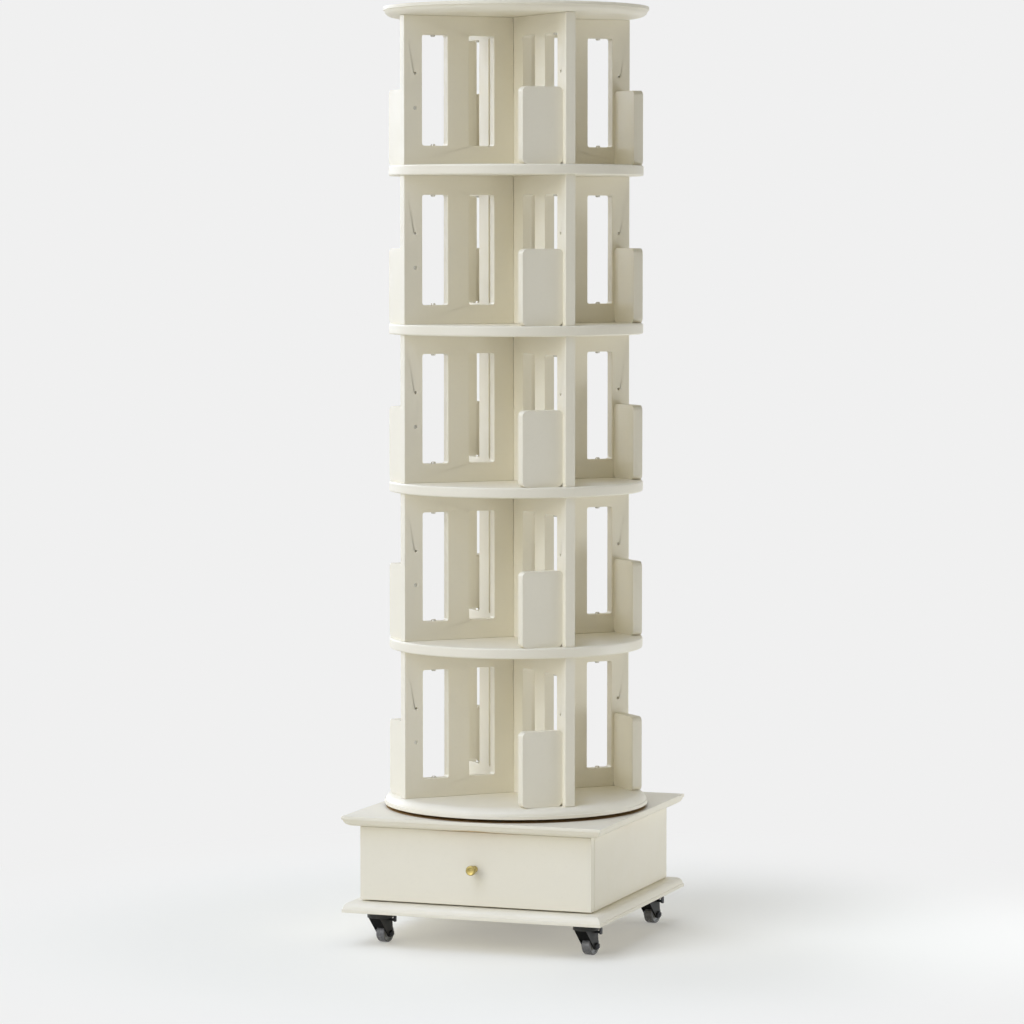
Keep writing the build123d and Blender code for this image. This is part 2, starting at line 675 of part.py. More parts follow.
def caster_brake():
    """Cross pin with a cam over the wheel, turned by a tab beside the crown."""
    crown_beside = (crown_d / 2) ** 2 - (brake_x - brake_tab_w / 2) ** 2
    tab_in = crown_beside ** 0.5 + brake_side_clear
    tab_out = tab_in + brake_tab_t
    rivet_in = leg_out + brake_side_clear
    pin = bar_y(brake_pin_d / 2, -tab_out, rivet_in + brake_rivet_h, 0, 0)
    rivet = bar_y(brake_rivet_d / 2, rivet_in, rivet_in + brake_rivet_h, 0, 0)
    cam = bar_y(brake_cam_r, -brake_cam_w / 2, brake_cam_w / 2, brake_cam_offset, 0)
    tab = block((-brake_tab_w / 2, brake_tab_w / 2), (-tab_out, -tab_in), (-brake_tab_down, brake_tab_up))
    tab = fillet(tab.edges().filter_by(Axis.Y), brake_tab_w / 3)
    return Pos(brake_x, 0, brake_z) * (pin + rivet + cam + tab)


def casters():
    """Nodes of the four casters, as (on the base, on each fork)."""
    on_base = {
        "caster_pads": at_casters(caster_pad()),
        "caster_screws": [solid for four in at_casters(Compound(pad_screw_places(pad_screw())))
                          for solid in four.solids()],
    }
    on_forks = {}
    for side, x in (("left", -caster_x), ("right", caster_x)):
        for end, y in (("front", -caster_y), ("rear", caster_y)):
            name = f"caster_{end}_{side}"
            place = Pos(x, y, 0) * Rot(0, 0, caster_heading)
            on_forks[f"{name}_fork"] = place * caster_fork()
            on_forks[f"{name}_wheel"] = place * caster_wheel()
            on_forks[f"{name}_axle"] = [place * piece for piece in caster_axle()]
            on_forks[f"{name}_brake"] = place * caster_brake()
    return on_base, on_forks


# ---- Write one STEP file per node ---------------------------------------------------------------------
def write_node(name, shape):
    """Write a solid, or a list of separate solids as one group."""
    whole = Compound(shape) if isinstance(shape, list) else shape
    export_step(whole, f"parts/{name}.step")


os.makedirs("parts", exist_ok=True)
turntable_base, turntable_tower = turntable()
caster_base, caster_moving = casters()
all_nodes = {**case(), "case_slides": case_slides(), **turntable_base, **caster_base, **drawer(),
             **turntable_tower, **tower(), **caster_moving}
for node_name, node_shape in all_nodes.items():
    write_node(node_name, node_shape)
print(f"{len(all_nodes)} nodes, {tier_z(tier_count) + tier_clear + shelf_t:.0f} mm tall")
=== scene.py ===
"""Revolving bookcase tower: five open tiers that turn on a square drawer base with casters."""

import json
import logging
import math
from dataclasses import dataclass, field
from enum import Enum
from typing import Any, Callable, Sequence

import bmesh
import bpy
from mathutils import Matrix, Vector


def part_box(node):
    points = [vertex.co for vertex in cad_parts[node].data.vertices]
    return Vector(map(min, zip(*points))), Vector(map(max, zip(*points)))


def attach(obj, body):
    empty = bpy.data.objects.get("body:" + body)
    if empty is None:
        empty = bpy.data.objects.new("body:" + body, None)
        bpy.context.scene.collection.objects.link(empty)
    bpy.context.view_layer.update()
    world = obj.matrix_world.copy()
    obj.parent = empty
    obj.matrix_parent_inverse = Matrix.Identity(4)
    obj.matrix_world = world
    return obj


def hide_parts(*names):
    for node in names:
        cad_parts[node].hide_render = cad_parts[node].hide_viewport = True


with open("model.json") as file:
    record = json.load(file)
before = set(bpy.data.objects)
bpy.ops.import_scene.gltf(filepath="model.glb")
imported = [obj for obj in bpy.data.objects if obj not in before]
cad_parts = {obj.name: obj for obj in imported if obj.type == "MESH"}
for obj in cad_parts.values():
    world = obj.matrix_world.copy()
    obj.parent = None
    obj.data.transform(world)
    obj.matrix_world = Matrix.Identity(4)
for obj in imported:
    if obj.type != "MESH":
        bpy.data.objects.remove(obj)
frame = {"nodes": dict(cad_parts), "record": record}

log = logging.getLogger("bookcase")

Piece = bpy.types.Object
Finish = bpy.types.Material
Socket = bpy.types.NodeSocket
Test = Callable[[Any], bool]
Ring = tuple[float, float]
Flat = tuple[float, float]
Spot = tuple[float, float, float]
Colour = tuple[float, float, float]

SLOT_OF: dict[str, str] = {part["node"]: part["material_slot"]
                           for part in frame["record"]["subparts"]}

UP = Vector((0.0, 0.0, 1.0))
ACROSS = Vector((1.0, 0.0, 0.0))
HOME = Matrix.Identity(4)
DOUBLED = 1e-6
FACING = 0.9
SQUARE_ON = 0.9995
CASTERS_AT: Flat = (0.188, 0.172)


class Outline(Enum):
    """Shape that a run of moulding goes round."""

    ROUND = "round"
    SQUARE = "square"


class Pick(Enum):
    """What an edit-mode selection is made of."""

    CORNER = ("VERT", "verts")
    EDGE = ("EDGE", "edges")
    FACE = ("FACE", "faces")


class Cut(Enum):
    """What one solid does to another."""

    AWAY = "DIFFERENCE"
    ADD = "UNION"
    WITHIN = "INTERSECT"


class Bench:
    """The work bench: what is done by hand to the piece that it is given."""

    @staticmethod
    def free() -> None:
        """Puts down every piece."""
        held = bpy.context.view_layer.objects.active
        if held is not None and held.mode != "OBJECT":
            bpy.ops.object.mode_set(mode="OBJECT")
        bpy.ops.object.select_all(action="DESELECT")

    @classmethod
    def take(cls, *pieces: Piece) -> None:
        """Selects pieces and makes the first of them active.

        Args:
            pieces: The pieces to hold.
        """
        cls.free()
        for piece in pieces:
            piece.select_set(True)
        bpy.context.view_layer.objects.active = pieces[0]

    @staticmethod
    def named(name: str) -> Piece:
        """Names the primitive that was just added.

        Args:
            name: Name of the piece.

        Returns:
            The new piece.
        """
        piece = bpy.context.view_layer.objects.active
        piece.name = name
        piece.data.name = name
        return piece

    @classmethod
    def open(cls, piece: Piece, kind: Pick = Pick.FACE) -> None:
        """Starts edit mode.

        Args:
            piece: The piece.
            kind: What selections are made of.
        """
        cls.take(piece)
        bpy.ops.object.mode_set(mode="EDIT")
        bpy.ops.mesh.select_mode(type=kind.value[0])

    @staticmethod
    def close() -> None:
        """Ends edit mode."""
        bpy.ops.object.mode_set(mode="OBJECT")

    @staticmethod
    def select(piece: Piece, kind: Pick, test: Test) -> None:
        """Selects corners, edges or faces by their place or normal, in edit mode.

        Args:
            piece: The piece in edit mode.
            kind: What to select.
            test: Says yes to the elements that are wanted.
        """
        bpy.ops.mesh.select_mode(type=kind.value[0])
        bpy.ops.mesh.select_all(action="DESELECT")
        mesh = bmesh.from_edit_mesh(piece.data)
        for element in filter(test, getattr(mesh, kind.value[1])):
            element.select_set(True)
        mesh.select_flush_mode()
        bmesh.update_edit_mesh(piece.data)

    @staticmethod
    def every() -> None:
        """Selects the whole of the open mesh."""
        bpy.ops.mesh.select_all(action="SELECT")

    @classmethod
    def halve(cls, at: Sequence[float], along: Sequence[float]) -> None:
        """Scores the open mesh along the plane through a point, across a direction."""
        cls.every()
        bpy.ops.mesh.bisect(plane_co=at, plane_no=along)

    @staticmethod
    def pull(x: float = 0.0, y: float = 0.0, z: float = 0.0) -> None:
        """Extrudes the selected faces."""
        bpy.ops.mesh.extrude_region_move(TRANSFORM_OT_translate={"value": (x, y, z)})

    @classmethod
    def block(cls, name: str, middle: Sequence[float], size: Sequence[float]) -> Piece:
        """Adds a rectangular block.

        Args:
            name: Its name.
            middle: Its middle.
            size: Its length along each axis.

        Returns:
            The block.
        """
        cls.free()
        bpy.ops.mesh.primitive_cube_add(size=1.0, location=middle, scale=size)
        return cls.settle(cls.named(name))

    @classmethod
    def sheet(cls, name: str) -> Piece:
        """Opens an empty drawing.

        Args:
            name: Its name.

        Returns:
            The drawing, in edit mode.
        """
        cls.free()
        bpy.ops.mesh.primitive_circle_add(vertices=3, radius=0.001, fill_type="NOTHING")
        drawing = cls.named(name)
        cls.open(drawing, Pick.CORNER)
        bpy.ops.mesh.delete(type="VERT")
        return drawing

    @classmethod
    def true_up(cls, piece: Piece) -> None:
        """Merges doubled corners and turns every face outwards.

        Args:
            piece: A closed piece in object mode.
        """
        cls.open(piece)
        cls.every()
        bpy.ops.mesh.remove_doubles(threshold=DOUBLED)
        cls.every()
        bpy.ops.mesh.normals_make_consistent(inside=False)
        cls.close()

    @classmethod
    def ease(cls, piece: Piece, width: float, steps: int = 2,
             over: float = 35.0) -> None:
        """Rounds a piece's sharp edges.

        Args:
            piece: The piece.
            width: Width of the round-over.
            steps: Faces across it.
            over: Edges that turn more than this many degrees are rounded.
        """
        cls.take(piece)
        bevel = piece.modifiers.new("Ease", "BEVEL")
        bevel.width = width
        bevel.segments = steps
        bevel.limit_method = "ANGLE"
        bevel.angle_limit = math.radians(over)
        bevel.use_clamp_overlap = True
        bpy.ops.object.modifier_apply(modifier=bevel.name)

    @classmethod
    def combine(cls, piece: Piece, other: Piece, how: Cut = Cut.AWAY) -> None:
        """Shapes a piece with another and removes the other.

        Args:
            piece: The piece that stays.
            other: The other shape.
            how: Whether the other's shape is cut away, added, or all that is kept.
        """
        cls.take(piece)
        boolean = piece.modifiers.new("Combine", "BOOLEAN")
        boolean.operation = how.value
        boolean.solver = "EXACT"
        boolean.object = other
        bpy.ops.object.modifier_apply(modifier=boolean.name)
        bpy.data.objects.remove(other)

    @classmethod
    def copy(cls, piece: Piece, name: str, place: Matrix) -> Piece:
        """Makes a copy with its own mesh and settles it in another place.

        Args:
            piece: The model for the copy, at the origin.
            name: Name of the copy.
            place: Where the copy goes.

        Returns:
            The copy.
        """
        cls.take(piece)
        bpy.ops.object.duplicate(linked=False)
        return cls.settle(cls.named(name), place)

    @classmethod
    def settle(cls, piece: Piece, place: Matrix = HOME) -> Piece:
        """Moves a piece and bakes its place into its mesh.

        Args:
            piece: The piece.
            place: The move, in the row frame.

        Returns:
            The same piece, with its object at the origin.
        """
        cls.take(piece)
        piece.matrix_basis = place @ piece.matrix_basis
        bpy.ops.object.transform_apply(location=True, rotation=True, scale=True)
        return piece

    @classmethod
    def join(cls, name: str, pieces: Sequence[Piece]) -> Piece:
        """Joins several pieces into one group of solids.

        Args:
            name: Name of the group.
            pieces: What goes into it.

        Returns:
            The group.
        """
        cls.take(*pieces)
        if len(pieces) > 1:
            bpy.ops.object.join()
        return cls.named(name)

    @staticmethod
    def two_tone(piece: Piece, first: Finish, second: Finish, test: Test) -> None:
        """Dresses a piece in two finishes.

        Args:
            piece: The piece.
            first: Finish of most faces.
            second: Finish of the others.
            test: Says yes to the faces of the second.
        """
        piece.data.materials.append(first)
        piece.data.materials.append(second)
        for face in piece.data.polygons:
            face.material_index = int(test(face))


class Turner:
    """Runs a profile round a circle or a square: discs, plates, knobs, wheels, screws."""

    @staticmethod
    def run(name: str, profile: Sequence[Ring], outline: Outline = Outline.ROUND,
            corners: int = 48) -> Piece:
        """Builds a closed shape from a stack of rings on the Z axis.

        Args:
            name: Name of the piece.
            profile: Radius (half the side of a square) and height of each ring in turn.
            outline: What the profile goes round.
            corners: Corners of a round outline.

        Returns:
            The piece, at the origin.
        """
        Bench.free()
        radius, height = profile[0]
        start = (0.0, 0.0, height)
        if outline is Outline.ROUND:
            bpy.ops.mesh.primitive_circle_add(vertices=corners, radius=radius,
                                              fill_type="NGON", location=start)
        else:
            bpy.ops.mesh.primitive_plane_add(size=2 * radius, location=start)
        piece = Bench.settle(Bench.named(name))
        Bench.open(piece)
        Bench.every()
        for next_radius, next_height in profile[1:]:
            Bench.pull(z=next_height - height)
            growth = next_radius / radius
            bpy.ops.transform.resize(value=(growth, growth, 1.0),
                                     center_override=(0.0, 0.0, 0.0))
            radius, height = next_radius, next_height
        Bench.close()
        Bench.true_up(piece)
        return piece


@dataclass(frozen=True)
class Moulding:
    """Square rim, small quirk and thumbnail curve along the edge of a board."""

    thickness: float = 0.018
    rim: float = 0.006
    quirk: float = 0.002
    run: float = 0.018
    steps: int = 10

    def rings(self, half: float, low: float, rim_on_top: bool) -> list[Ring]:
        """Rings of the edge.

        Args:
            half: Radius or half side at the rim.
            low: Height of the underside.
            rim_on_top: Whether the rim is at the upper face.

        Returns:
            Rings from the underside up.
        """
        curve = [math.pi / 2 * step / self.steps for step in range(self.steps + 1)]
        drop = self.thickness - self.rim
        falling = [(half, 0.0), (half, self.rim)]
        falling += [(half - self.quirk - self.run * (1 - math.cos(turn)),
                     self.rim + drop * math.sin(turn)) for turn in curve]
        if rim_on_top:
            return [(radius, low + self.thickness - fall) for radius, fall in reversed(falling)]
        return [(radius, low + fall) for radius, fall in falling]


@dataclass(frozen=True)
class EasedEdge:
    """Plain edge of a round shelf, rounded over on both sides."""

    thickness: float = 0.018
    radius: float = 0.003
    steps: int = 5

    def rings(self, half: float, low: float) -> list[Ring]:
        """Rings of the edge.

        Args:
            half: Radius of the shelf.
            low: Height of the underside.

        Returns:
            Rings from the underside up.
        """
        turns = [math.pi / 2 * step / self.steps for step in range(self.steps + 1)]
        rising = [(half - self.radius * (1 - math.sin(turn)),
                   self.radius * (1 - math.cos(turn))) for turn in turns]
        falling = [(radius, self.thickness - rise) for radius, rise in reversed(rising)]
        return [(radius, low + rise) for radius, rise in rising + falling]


class Wiring:
    """Lays out the nodes of a tree."""

    def __init__(self, tree: bpy.types.NodeTree) -> None:
        """Takes up a tree."""
        self.tree = tree

    def add(self, kind: str, **settings: Any) -> bpy.types.Node:
        """Adds a node.

        Args:
            kind: Its type.
            settings: Properties of the node.

        Returns:
            The node.
        """
        node = self.tree.nodes.new(kind)
        for name, value in settings.items():
            setattr(node, name, value)
        return node

    def join(self, source: Socket, target: Socket) -> None:
        """Links two sockets."""
        self.tree.links.new(source, target)

    def mixed(self, share: Socket, first: Socket, second: Socket) -> Socket:
        """Mixes two surfaces.

        Args:
            share: Share of the second.
            first: The first surface.
            second: The second surface.

        Returns:
            The mixed surface.
        """
        mix = self.add("ShaderNodeMixShader")
        for source, target in zip((share, first, second), mix.inputs):
            self.join(source, target)
        return mix.outputs["Shader"]


class Shader(Wiring):
    """Lays out one material's nodes."""

    def __init__(self, name: str) -> None:
        """Starts a material.

        Args:
            name: Name of the material.
        """
        self.material = bpy.data.materials.new(name)
        self.material.use_nodes = True
        super().__init__(self.material.node_tree)
        self.base = self.tree.nodes["Principled BSDF"]
        self.place = self.add("ShaderNodeTexCoord").outputs["Object"]

    def mapped(self, scale: Sequence[float] = (1, 1, 1),
               place: Sequence[float] = (0, 0, 0)) -> Socket:
        """Object coordinates, moved and stretched.

        Args:
            scale: Stretch along each axis.
            place: Move along each axis, after the stretch.

        Returns:
            The coordinates.
        """
        mapping = self.add("ShaderNodeMapping")
        mapping.inputs["Scale"].default_value = scale
        mapping.inputs["Location"].default_value = place
        self.join(self.place, mapping.inputs["Vector"])
        return mapping.outputs["Vector"]

    def noise(self, scale: float, detail: float = 2.0, rough: float = 0.5,
              vector: Socket | None = None) -> Socket:
        """Noise pattern.

        Args:
            scale: Features to the metre.
            detail: Octaves.
            rough: Weight of the fine octaves.
            vector: Coordinates; the object's own if left out.

        Returns:
            The pattern's value, 0 to 1.
        """
        noise = self.add("ShaderNodeTexNoise")
        noise.inputs["Scale"].default_value = scale
        noise.inputs["Detail"].default_value = detail
        noise.inputs["Roughness"].default_value = rough
        self.join(vector or self.place, noise.inputs["Vector"])
        return noise.outputs["Fac"]

    def spread(self, source: Socket, low: float, high: float, source_low: float = 0.3,
               source_high: float = 0.7, smooth: bool = False) -> Socket:
        """Maps a pattern onto a range.

        Args:
            source: The pattern.
            low: Value at the pattern's low end.
            high: Value at its high end.
            source_low: Where the low end is.
            source_high: Where the high end is.
            smooth: Whether it sets in and ends gently.

        Returns:
            The mapped value.
        """
        spread = self.add("ShaderNodeMapRange",
                          interpolation_type="SMOOTHSTEP" if smooth else "LINEAR")
        for name, value in (("From Min", source_low), ("From Max", source_high),
                            ("To Min", low), ("To Max", high)):
            spread.inputs[name].default_value = value
        self.join(source, spread.inputs["Value"])
        return spread.outputs["Result"]

    def blend(self, amount: Socket, first: Any, second: Any) -> Socket:
        """Mixes two colours.

        Args:
            amount: Share of the second colour.
            first: A colour, or a socket that gives one.
            second: The same.

        Returns:
            The mixed colour.
        """
        mix = self.add("ShaderNodeMix", data_type="RGBA")
        self.join(amount, mix.inputs["Factor"])
        for socket, colour in ((mix.inputs[6], first), (mix.inputs[7], second)):
            if isinstance(colour, Socket):
                self.join(colour, socket)
            else:
                socket.default_value = (*colour, 1.0)
        return mix.outputs[2]

    def relief(self, height: Socket, depth: float,
               under: Socket | None = None) -> Socket:
        """Turns a pattern into relief.

        Args:
            height: The pattern.
            depth: Depth of the relief in metres.
            under: Relief that this one lies on.

        Returns:
            The normal.
        """
        bump = self.add("ShaderNodeBump")
        bump.inputs["Strength"].default_value = 1.0
        bump.inputs["Distance"].default_value = depth
        self.join(height, bump.inputs["Height"])
        if under is not None:
            self.join(under, bump.inputs["Normal"])
        return bump.outputs["Normal"]

    def set(self, **sockets: Any) -> Finish:
        """Sets the shader's sockets.

        Args:
            sockets: A number, colour or source for each, with underscores for spaces.

        Returns:
            The material.
        """
        for name, value in sockets.items():
            socket = self.base.inputs[name.replace("_", " ")]
            if isinstance(value, Socket):
                self.join(value, socket)
            elif isinstance(value, tuple):
                socket.default_value = (*value, 1.0)
            else:
                socket.default_value = value
        return self.material


@dataclass(frozen=True)
class SatinPaint:
    """Sprayed satin paint on fibreboard, with a bare middle where a part turns on it."""

    name: str = "cream_paint"
    colour: Colour = (0.87, 0.815, 0.655)
    clouded: Colour = (0.84, 0.785, 0.62)
    sheen_low: float = 0.36
    sheen_high: float = 0.50
    peel: float = 0.000035
    bare_within: float = 0.0
    bare: Colour = (0.58, 0.39, 0.15)

    def mix(self) -> Finish:
        """Makes the finish.

        Returns:
            Its material.
        """
        shader = Shader(self.name)
        cloud = shader.spread(shader.noise(3.1, 4.0, 0.55), 0.0, 1.0)
        speck = shader.spread(shader.noise(160.0, 2.0, 0.6), 0.0, 0.22, 0.55, 0.8)
        tone = shader.blend(cloud, self.colour, self.clouded)
        tone = shader.blend(speck, tone, tuple(0.93 * part for part in self.clouded))
        if self.bare_within:
            reach = shader.add("ShaderNodeVectorMath", operation="LENGTH")
            shader.join(shader.mapped((1, 1, 0)), reach.inputs[0])
            edge = shader.spread(reach.outputs["Value"], 1.0, 0.0, self.bare_within - 0.001,
                                 self.bare_within)
            tone = shader.blend(edge, tone, self.bare)
        peel = shader.relief(shader.noise(420.0, 2.0, 0.45), self.peel)
        wave = shader.relief(shader.noise(38.0, 2.0, 0.5), 4 * self.peel, peel)
        gloss = shader.spread(shader.noise(24.0, 3.0), self.sheen_low, self.sheen_high)
        return shader.set(Base_Color=tone, Roughness=gloss, Normal=wave, Specular_IOR_Level=0.45)


@dataclass(frozen=True)
class RawBoard:
    """Bare fibreboard: brown, matt and finely felted, a little greasy in patches."""

    name: str = "raw_board"
    colour: Colour = (0.50, 0.34, 0.14)
    dark: Colour = (0.38, 0.25, 0.10)

    def mix(self) -> Finish:
        """Makes the finish.

        Returns:
            Its material.
        """
        shader = Shader(self.name)
        patch = shader.spread(shader.noise(14.0, 4.0, 0.6), 0.0, 1.0)
        tone = shader.blend(patch, self.colour, self.dark)
        felt = shader.relief(shader.noise(900.0, 4.0, 0.7), 0.00006)
        gloss = shader.spread(patch, 0.62, 0.80, 0.0, 1.0)
        return shader.set(Base_Color=tone, Roughness=gloss, Normal=felt)


@dataclass(frozen=True)
class DrawnSteel:
    """Metal with fine drawn lines along one axis, and light stains."""

    name: str = "bright_steel"
    colour: Colour = (0.66, 0.64, 0.57)
    dull: Colour = (0.48, 0.46, 0.40)
    rough: float = 0.30
    along: Spot = (1.0, 0.03, 1.0)
    lines: float = 900.0

    def mix(self) -> Finish:
        """Makes the finish.

        Returns:
            Its material.
        """
        shader = Shader(self.name)
        lines = shader.noise(self.lines, 2.0, 0.6, shader.mapped(self.along))
        stain = shader.spread(shader.noise(55.0, 3.0), 0.0, 1.0)
        tone = shader.blend(stain, self.colour, self.dull)
        gloss = shader.spread(lines, self.rough - 0.07, self.rough + 0.10)
        normal = shader.relief(lines, 0.000004)
        return shader.set(Base_Color=tone, Metallic=1.0, Roughness=gloss, Normal=normal)


@dataclass(frozen=True)
class TurnedBrass:
    """Brass with the faint rings of the lathe, duller in patches."""

    name: str = "knob_brass"
    colour: Colour = (0.54, 0.43, 0.16)
    dull: Colour = (0.32, 0.25, 0.08)
    axis: Spot = (0.0, 0.0, 0.144)

    def mix(self) -> Finish:
        """Makes the finish.

        Returns:
            Its material.
        """
        shader = Shader(self.name)
        centred = shader.mapped(place=tuple(-part for part in self.axis))
        rings = shader.add("ShaderNodeTexWave", wave_type="RINGS", rings_direction="Y")
        rings.inputs["Scale"].default_value = 700.0
        rings.inputs["Distortion"].default_value = 1.5
        shader.join(centred, rings.inputs["Vector"])
        patina = shader.spread(shader.noise(130.0, 4.0, 0.6), 0.0, 1.0)
        tone = shader.blend(patina, self.colour, self.dull)
        gloss = shader.spread(rings.outputs["Fac"], 0.24, 0.36, 0.0, 1.0)
        normal = shader.relief(rings.outputs["Fac"], 0.000006)
        return shader.set(Base_Color=tone, Metallic=1.0, Roughness=gloss, Normal=normal)


@dataclass(frozen=True)
class PowderCoat:
    """Black powder coat with a fine pebbled skin and a little dust."""

    name: str = "black_steel"
    colour: Colour = (0.026, 0.026, 0.024)
    dust: Colour = (0.050, 0.049, 0.044)
    pebble: float = 0.00004
    sheen: float = 0.30
    rough: float = 0.28

    def mix(self) -> Finish:
        """Makes the finish.

        Returns:
            Its material.
        """
        shader = Shader(self.name)
        dust = shader.spread(shader.noise(70.0, 4.0, 0.6), 0.0, 1.0, 0.45, 0.75)
        tone = shader.blend(dust, self.colour, self.dust)
        pebble = shader.relief(shader.noise(1500.0, 2.0, 0.5), self.pebble)
        gloss = shader.spread(shader.noise(260.0, 2.0), self.rough, self.rough + 0.14)
        return shader.set(Base_Color=tone, Roughness=gloss, Normal=pebble,
                          Specular_IOR_Level=self.sheen)


@dataclass(frozen=True)
class MouldedNylon:
    """Moulded plastic with a silky skin, scuffed in places."""

    name: str = "wheel_grey"
    colour: Colour = (0.36, 0.36, 0.35)
    scuffed: Colour = (0.46, 0.46, 0.44)
    rough: float = 0.34

    def mix(self) -> Finish:
        """Makes the finish.

        Returns:
            Its material.
        """
        shader = Shader(self.name)
        scuff = shader.spread(shader.noise(210.0, 5.0, 0.7), 0.0, 0.8, 0.5, 0.78)
        tone = shader.blend(scuff, self.colour, self.scuffed)
        gloss = shader.spread(scuff, self.rough, self.rough + 0.22, 0.0, 1.0)
        grain = shader.relief(shader.noise(2200.0, 2.0, 0.5), 0.00002)
        return shader.set(Base_Color=tone, Roughness=gloss, Normal=grain)


@dataclass(frozen=True)
class Palette:
    """Every finish of the bookcase, mixed once."""

    slots: dict[str, Finish]
    tread: Finish
    raw: Finish
    ground: Finish
    # Painted shade: the near-black copy of the powder coat for the fork's hollow under the crown.
    painted_shade: Finish

    @classmethod
    def mixed(cls) -> "Palette":
        """Mixes the finishes.

        Returns:
            The palette, by material slot.
        """
        finishes = [
            SatinPaint(),
            DrawnSteel(),
            DrawnSteel(name="ring_aluminium", colour=(0.72, 0.73, 0.74), dull=(0.60, 0.61, 0.62),
                       rough=0.34, along=(1.0, 1.0, 0.1), lines=500.0),
            DrawnSteel(name="axle_steel", colour=(0.075, 0.075, 0.08), dull=(0.04, 0.04, 0.04),
                       rough=0.36, along=(1.0, 1.0, 1.0), lines=700.0),
            TurnedBrass(),
            PowderCoat(),
            MouldedNylon(),
            MouldedNylon(name="brake_black", colour=(0.022, 0.022, 0.024),
                         scuffed=(0.06, 0.06, 0.06), rough=0.38),
        ]
        tread = MouldedNylon(name="tread_grey", colour=(0.16, 0.16, 0.165),
                             scuffed=(0.27, 0.27, 0.27), rough=0.26)
        ground = SatinPaint(name="turntable_ground", bare_within=0.2275)
        # Painted shade: a near-black, duller copy of the black powder coat, for the hood and the
        # legs' inner faces under the crown, where the fork's hollow lies in shadow.
        painted_shade = PowderCoat(name="hood_black", colour=(0.003, 0.003, 0.003),
                           dust=(0.006, 0.006, 0.0055), sheen=0.10, rough=0.55)
        return cls({finish.name: finish.mix() for finish in finishes}, tread.mix(),
                   RawBoard().mix(), ground.mix(), painted_shade.mix())

    def dress(self, body: str, node: str, *pieces: Piece, smooth: float = 38.0,
              plain: Vector | None = None, finish: Finish | None = None) -> None:
        """Joins solids into one piece, shades and dresses it and lets it ride on its body.

        Args:
            body: The body that it moves with.
            node: The node that it stands for.
            pieces: The solids, in place.
            smooth: Edges that turn less than this many degrees are shaded smooth.
            plain: Direction of the board's two broad faces, which are shaded flat.
            finish: Its finish, where that isn't the one of its slot.
        """
        piece = Bench.join(f"{node}_made", pieces)
        bpy.ops.object.shade_smooth_by_angle(angle=math.radians(smooth))
        if plain is not None:
            for face in piece.data.polygons:
                face.use_smooth = abs(face.normal.dot(plain)) < SQUARE_ON
        even = piece.modifiers.new("Even", "WEIGHTED_NORMAL")
        even.keep_sharp = True
        bpy.ops.object.modifier_apply(modifier=even.name)
        if not piece.data.materials:
            piece.data.materials.append(finish or self.slots[SLOT_OF[node]])
        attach(piece, body)
        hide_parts(node)
        log.info("%s: %d faces, rides on %s", piece.name, len(piece.data.polygons), body)


def turned(degrees: float) -> Matrix:
    """A turn about the upright axis through the origin."""
    return Matrix.Rotation(math.radians(degrees), 4, "Z")


def standing(origin: Vector, across: Vector) -> Matrix:
    """Place of a flat piece that is drawn with x across, y up and its thickness along z."""
    through = across.cross(UP)
    return Matrix(((across.x, UP.x, through.x, origin.x),
                   (across.y, UP.y, through.y, origin.y),
                   (across.z, UP.z, through.z, origin.z),
                   (0.0, 0.0, 0.0, 1.0)))


@dataclass
class FlatBoard:
    """Cuts flat shapes with round-cornered openings out of board."""

    thickness: float = 0.018

    @staticmethod
    def rounded(middle: Flat, size: Flat, corner: float, steps: int) -> None:
        """Draws a round-cornered rectangle in the open mesh, as an outline.

        Args:
            middle: Its middle.
            size: Width and height.
            corner: Radius of its corners.
            steps: Edges round each corner.
        """
        bpy.ops.mesh.select_mode(type="VERT")
        bpy.ops.mesh.primitive_plane_add(size=1.0, location=(*middle, 0.0))
        bpy.ops.transform.resize(value=(*size, 1.0), center_override=(*middle, 0.0))
        bpy.ops.mesh.bevel(offset=corner, segments=steps, affect="VERTICES")
        bpy.ops.mesh.delete(type="ONLY_FACE")

    @staticmethod
    def hole(middle: Flat, radius: float) -> None:
        """Draws a round hole in the open mesh, as an outline."""
        bpy.ops.mesh.primitive_circle_add(vertices=20, radius=radius, fill_type="NOTHING",
                                          location=(*middle, 0.0))

    def cut(self, piece: Piece, ease: float, steps: int = 2) -> Piece:
        """Fills the outlines of a drawing, gives it its thickness and eases the edges.

        Args:
            piece: The drawing, flat at height 0.
            ease: Round-over of the edges.
            steps: Faces across the round-over.

        Returns:
            The board, half of its thickness on each side of height 0.
        """
        Bench.open(piece, Pick.EDGE)
        Bench.every()
        bpy.ops.mesh.fill(use_beauty=True)
        bpy.ops.mesh.select_mode(type="FACE")
        Bench.every()
        bpy.ops.transform.translate(value=(0.0, 0.0, -self.thickness / 2))
        Bench.pull(z=self.thickness)
        Bench.close()
        Bench.true_up(piece)
        Bench.ease(piece, ease, steps)
        return piece


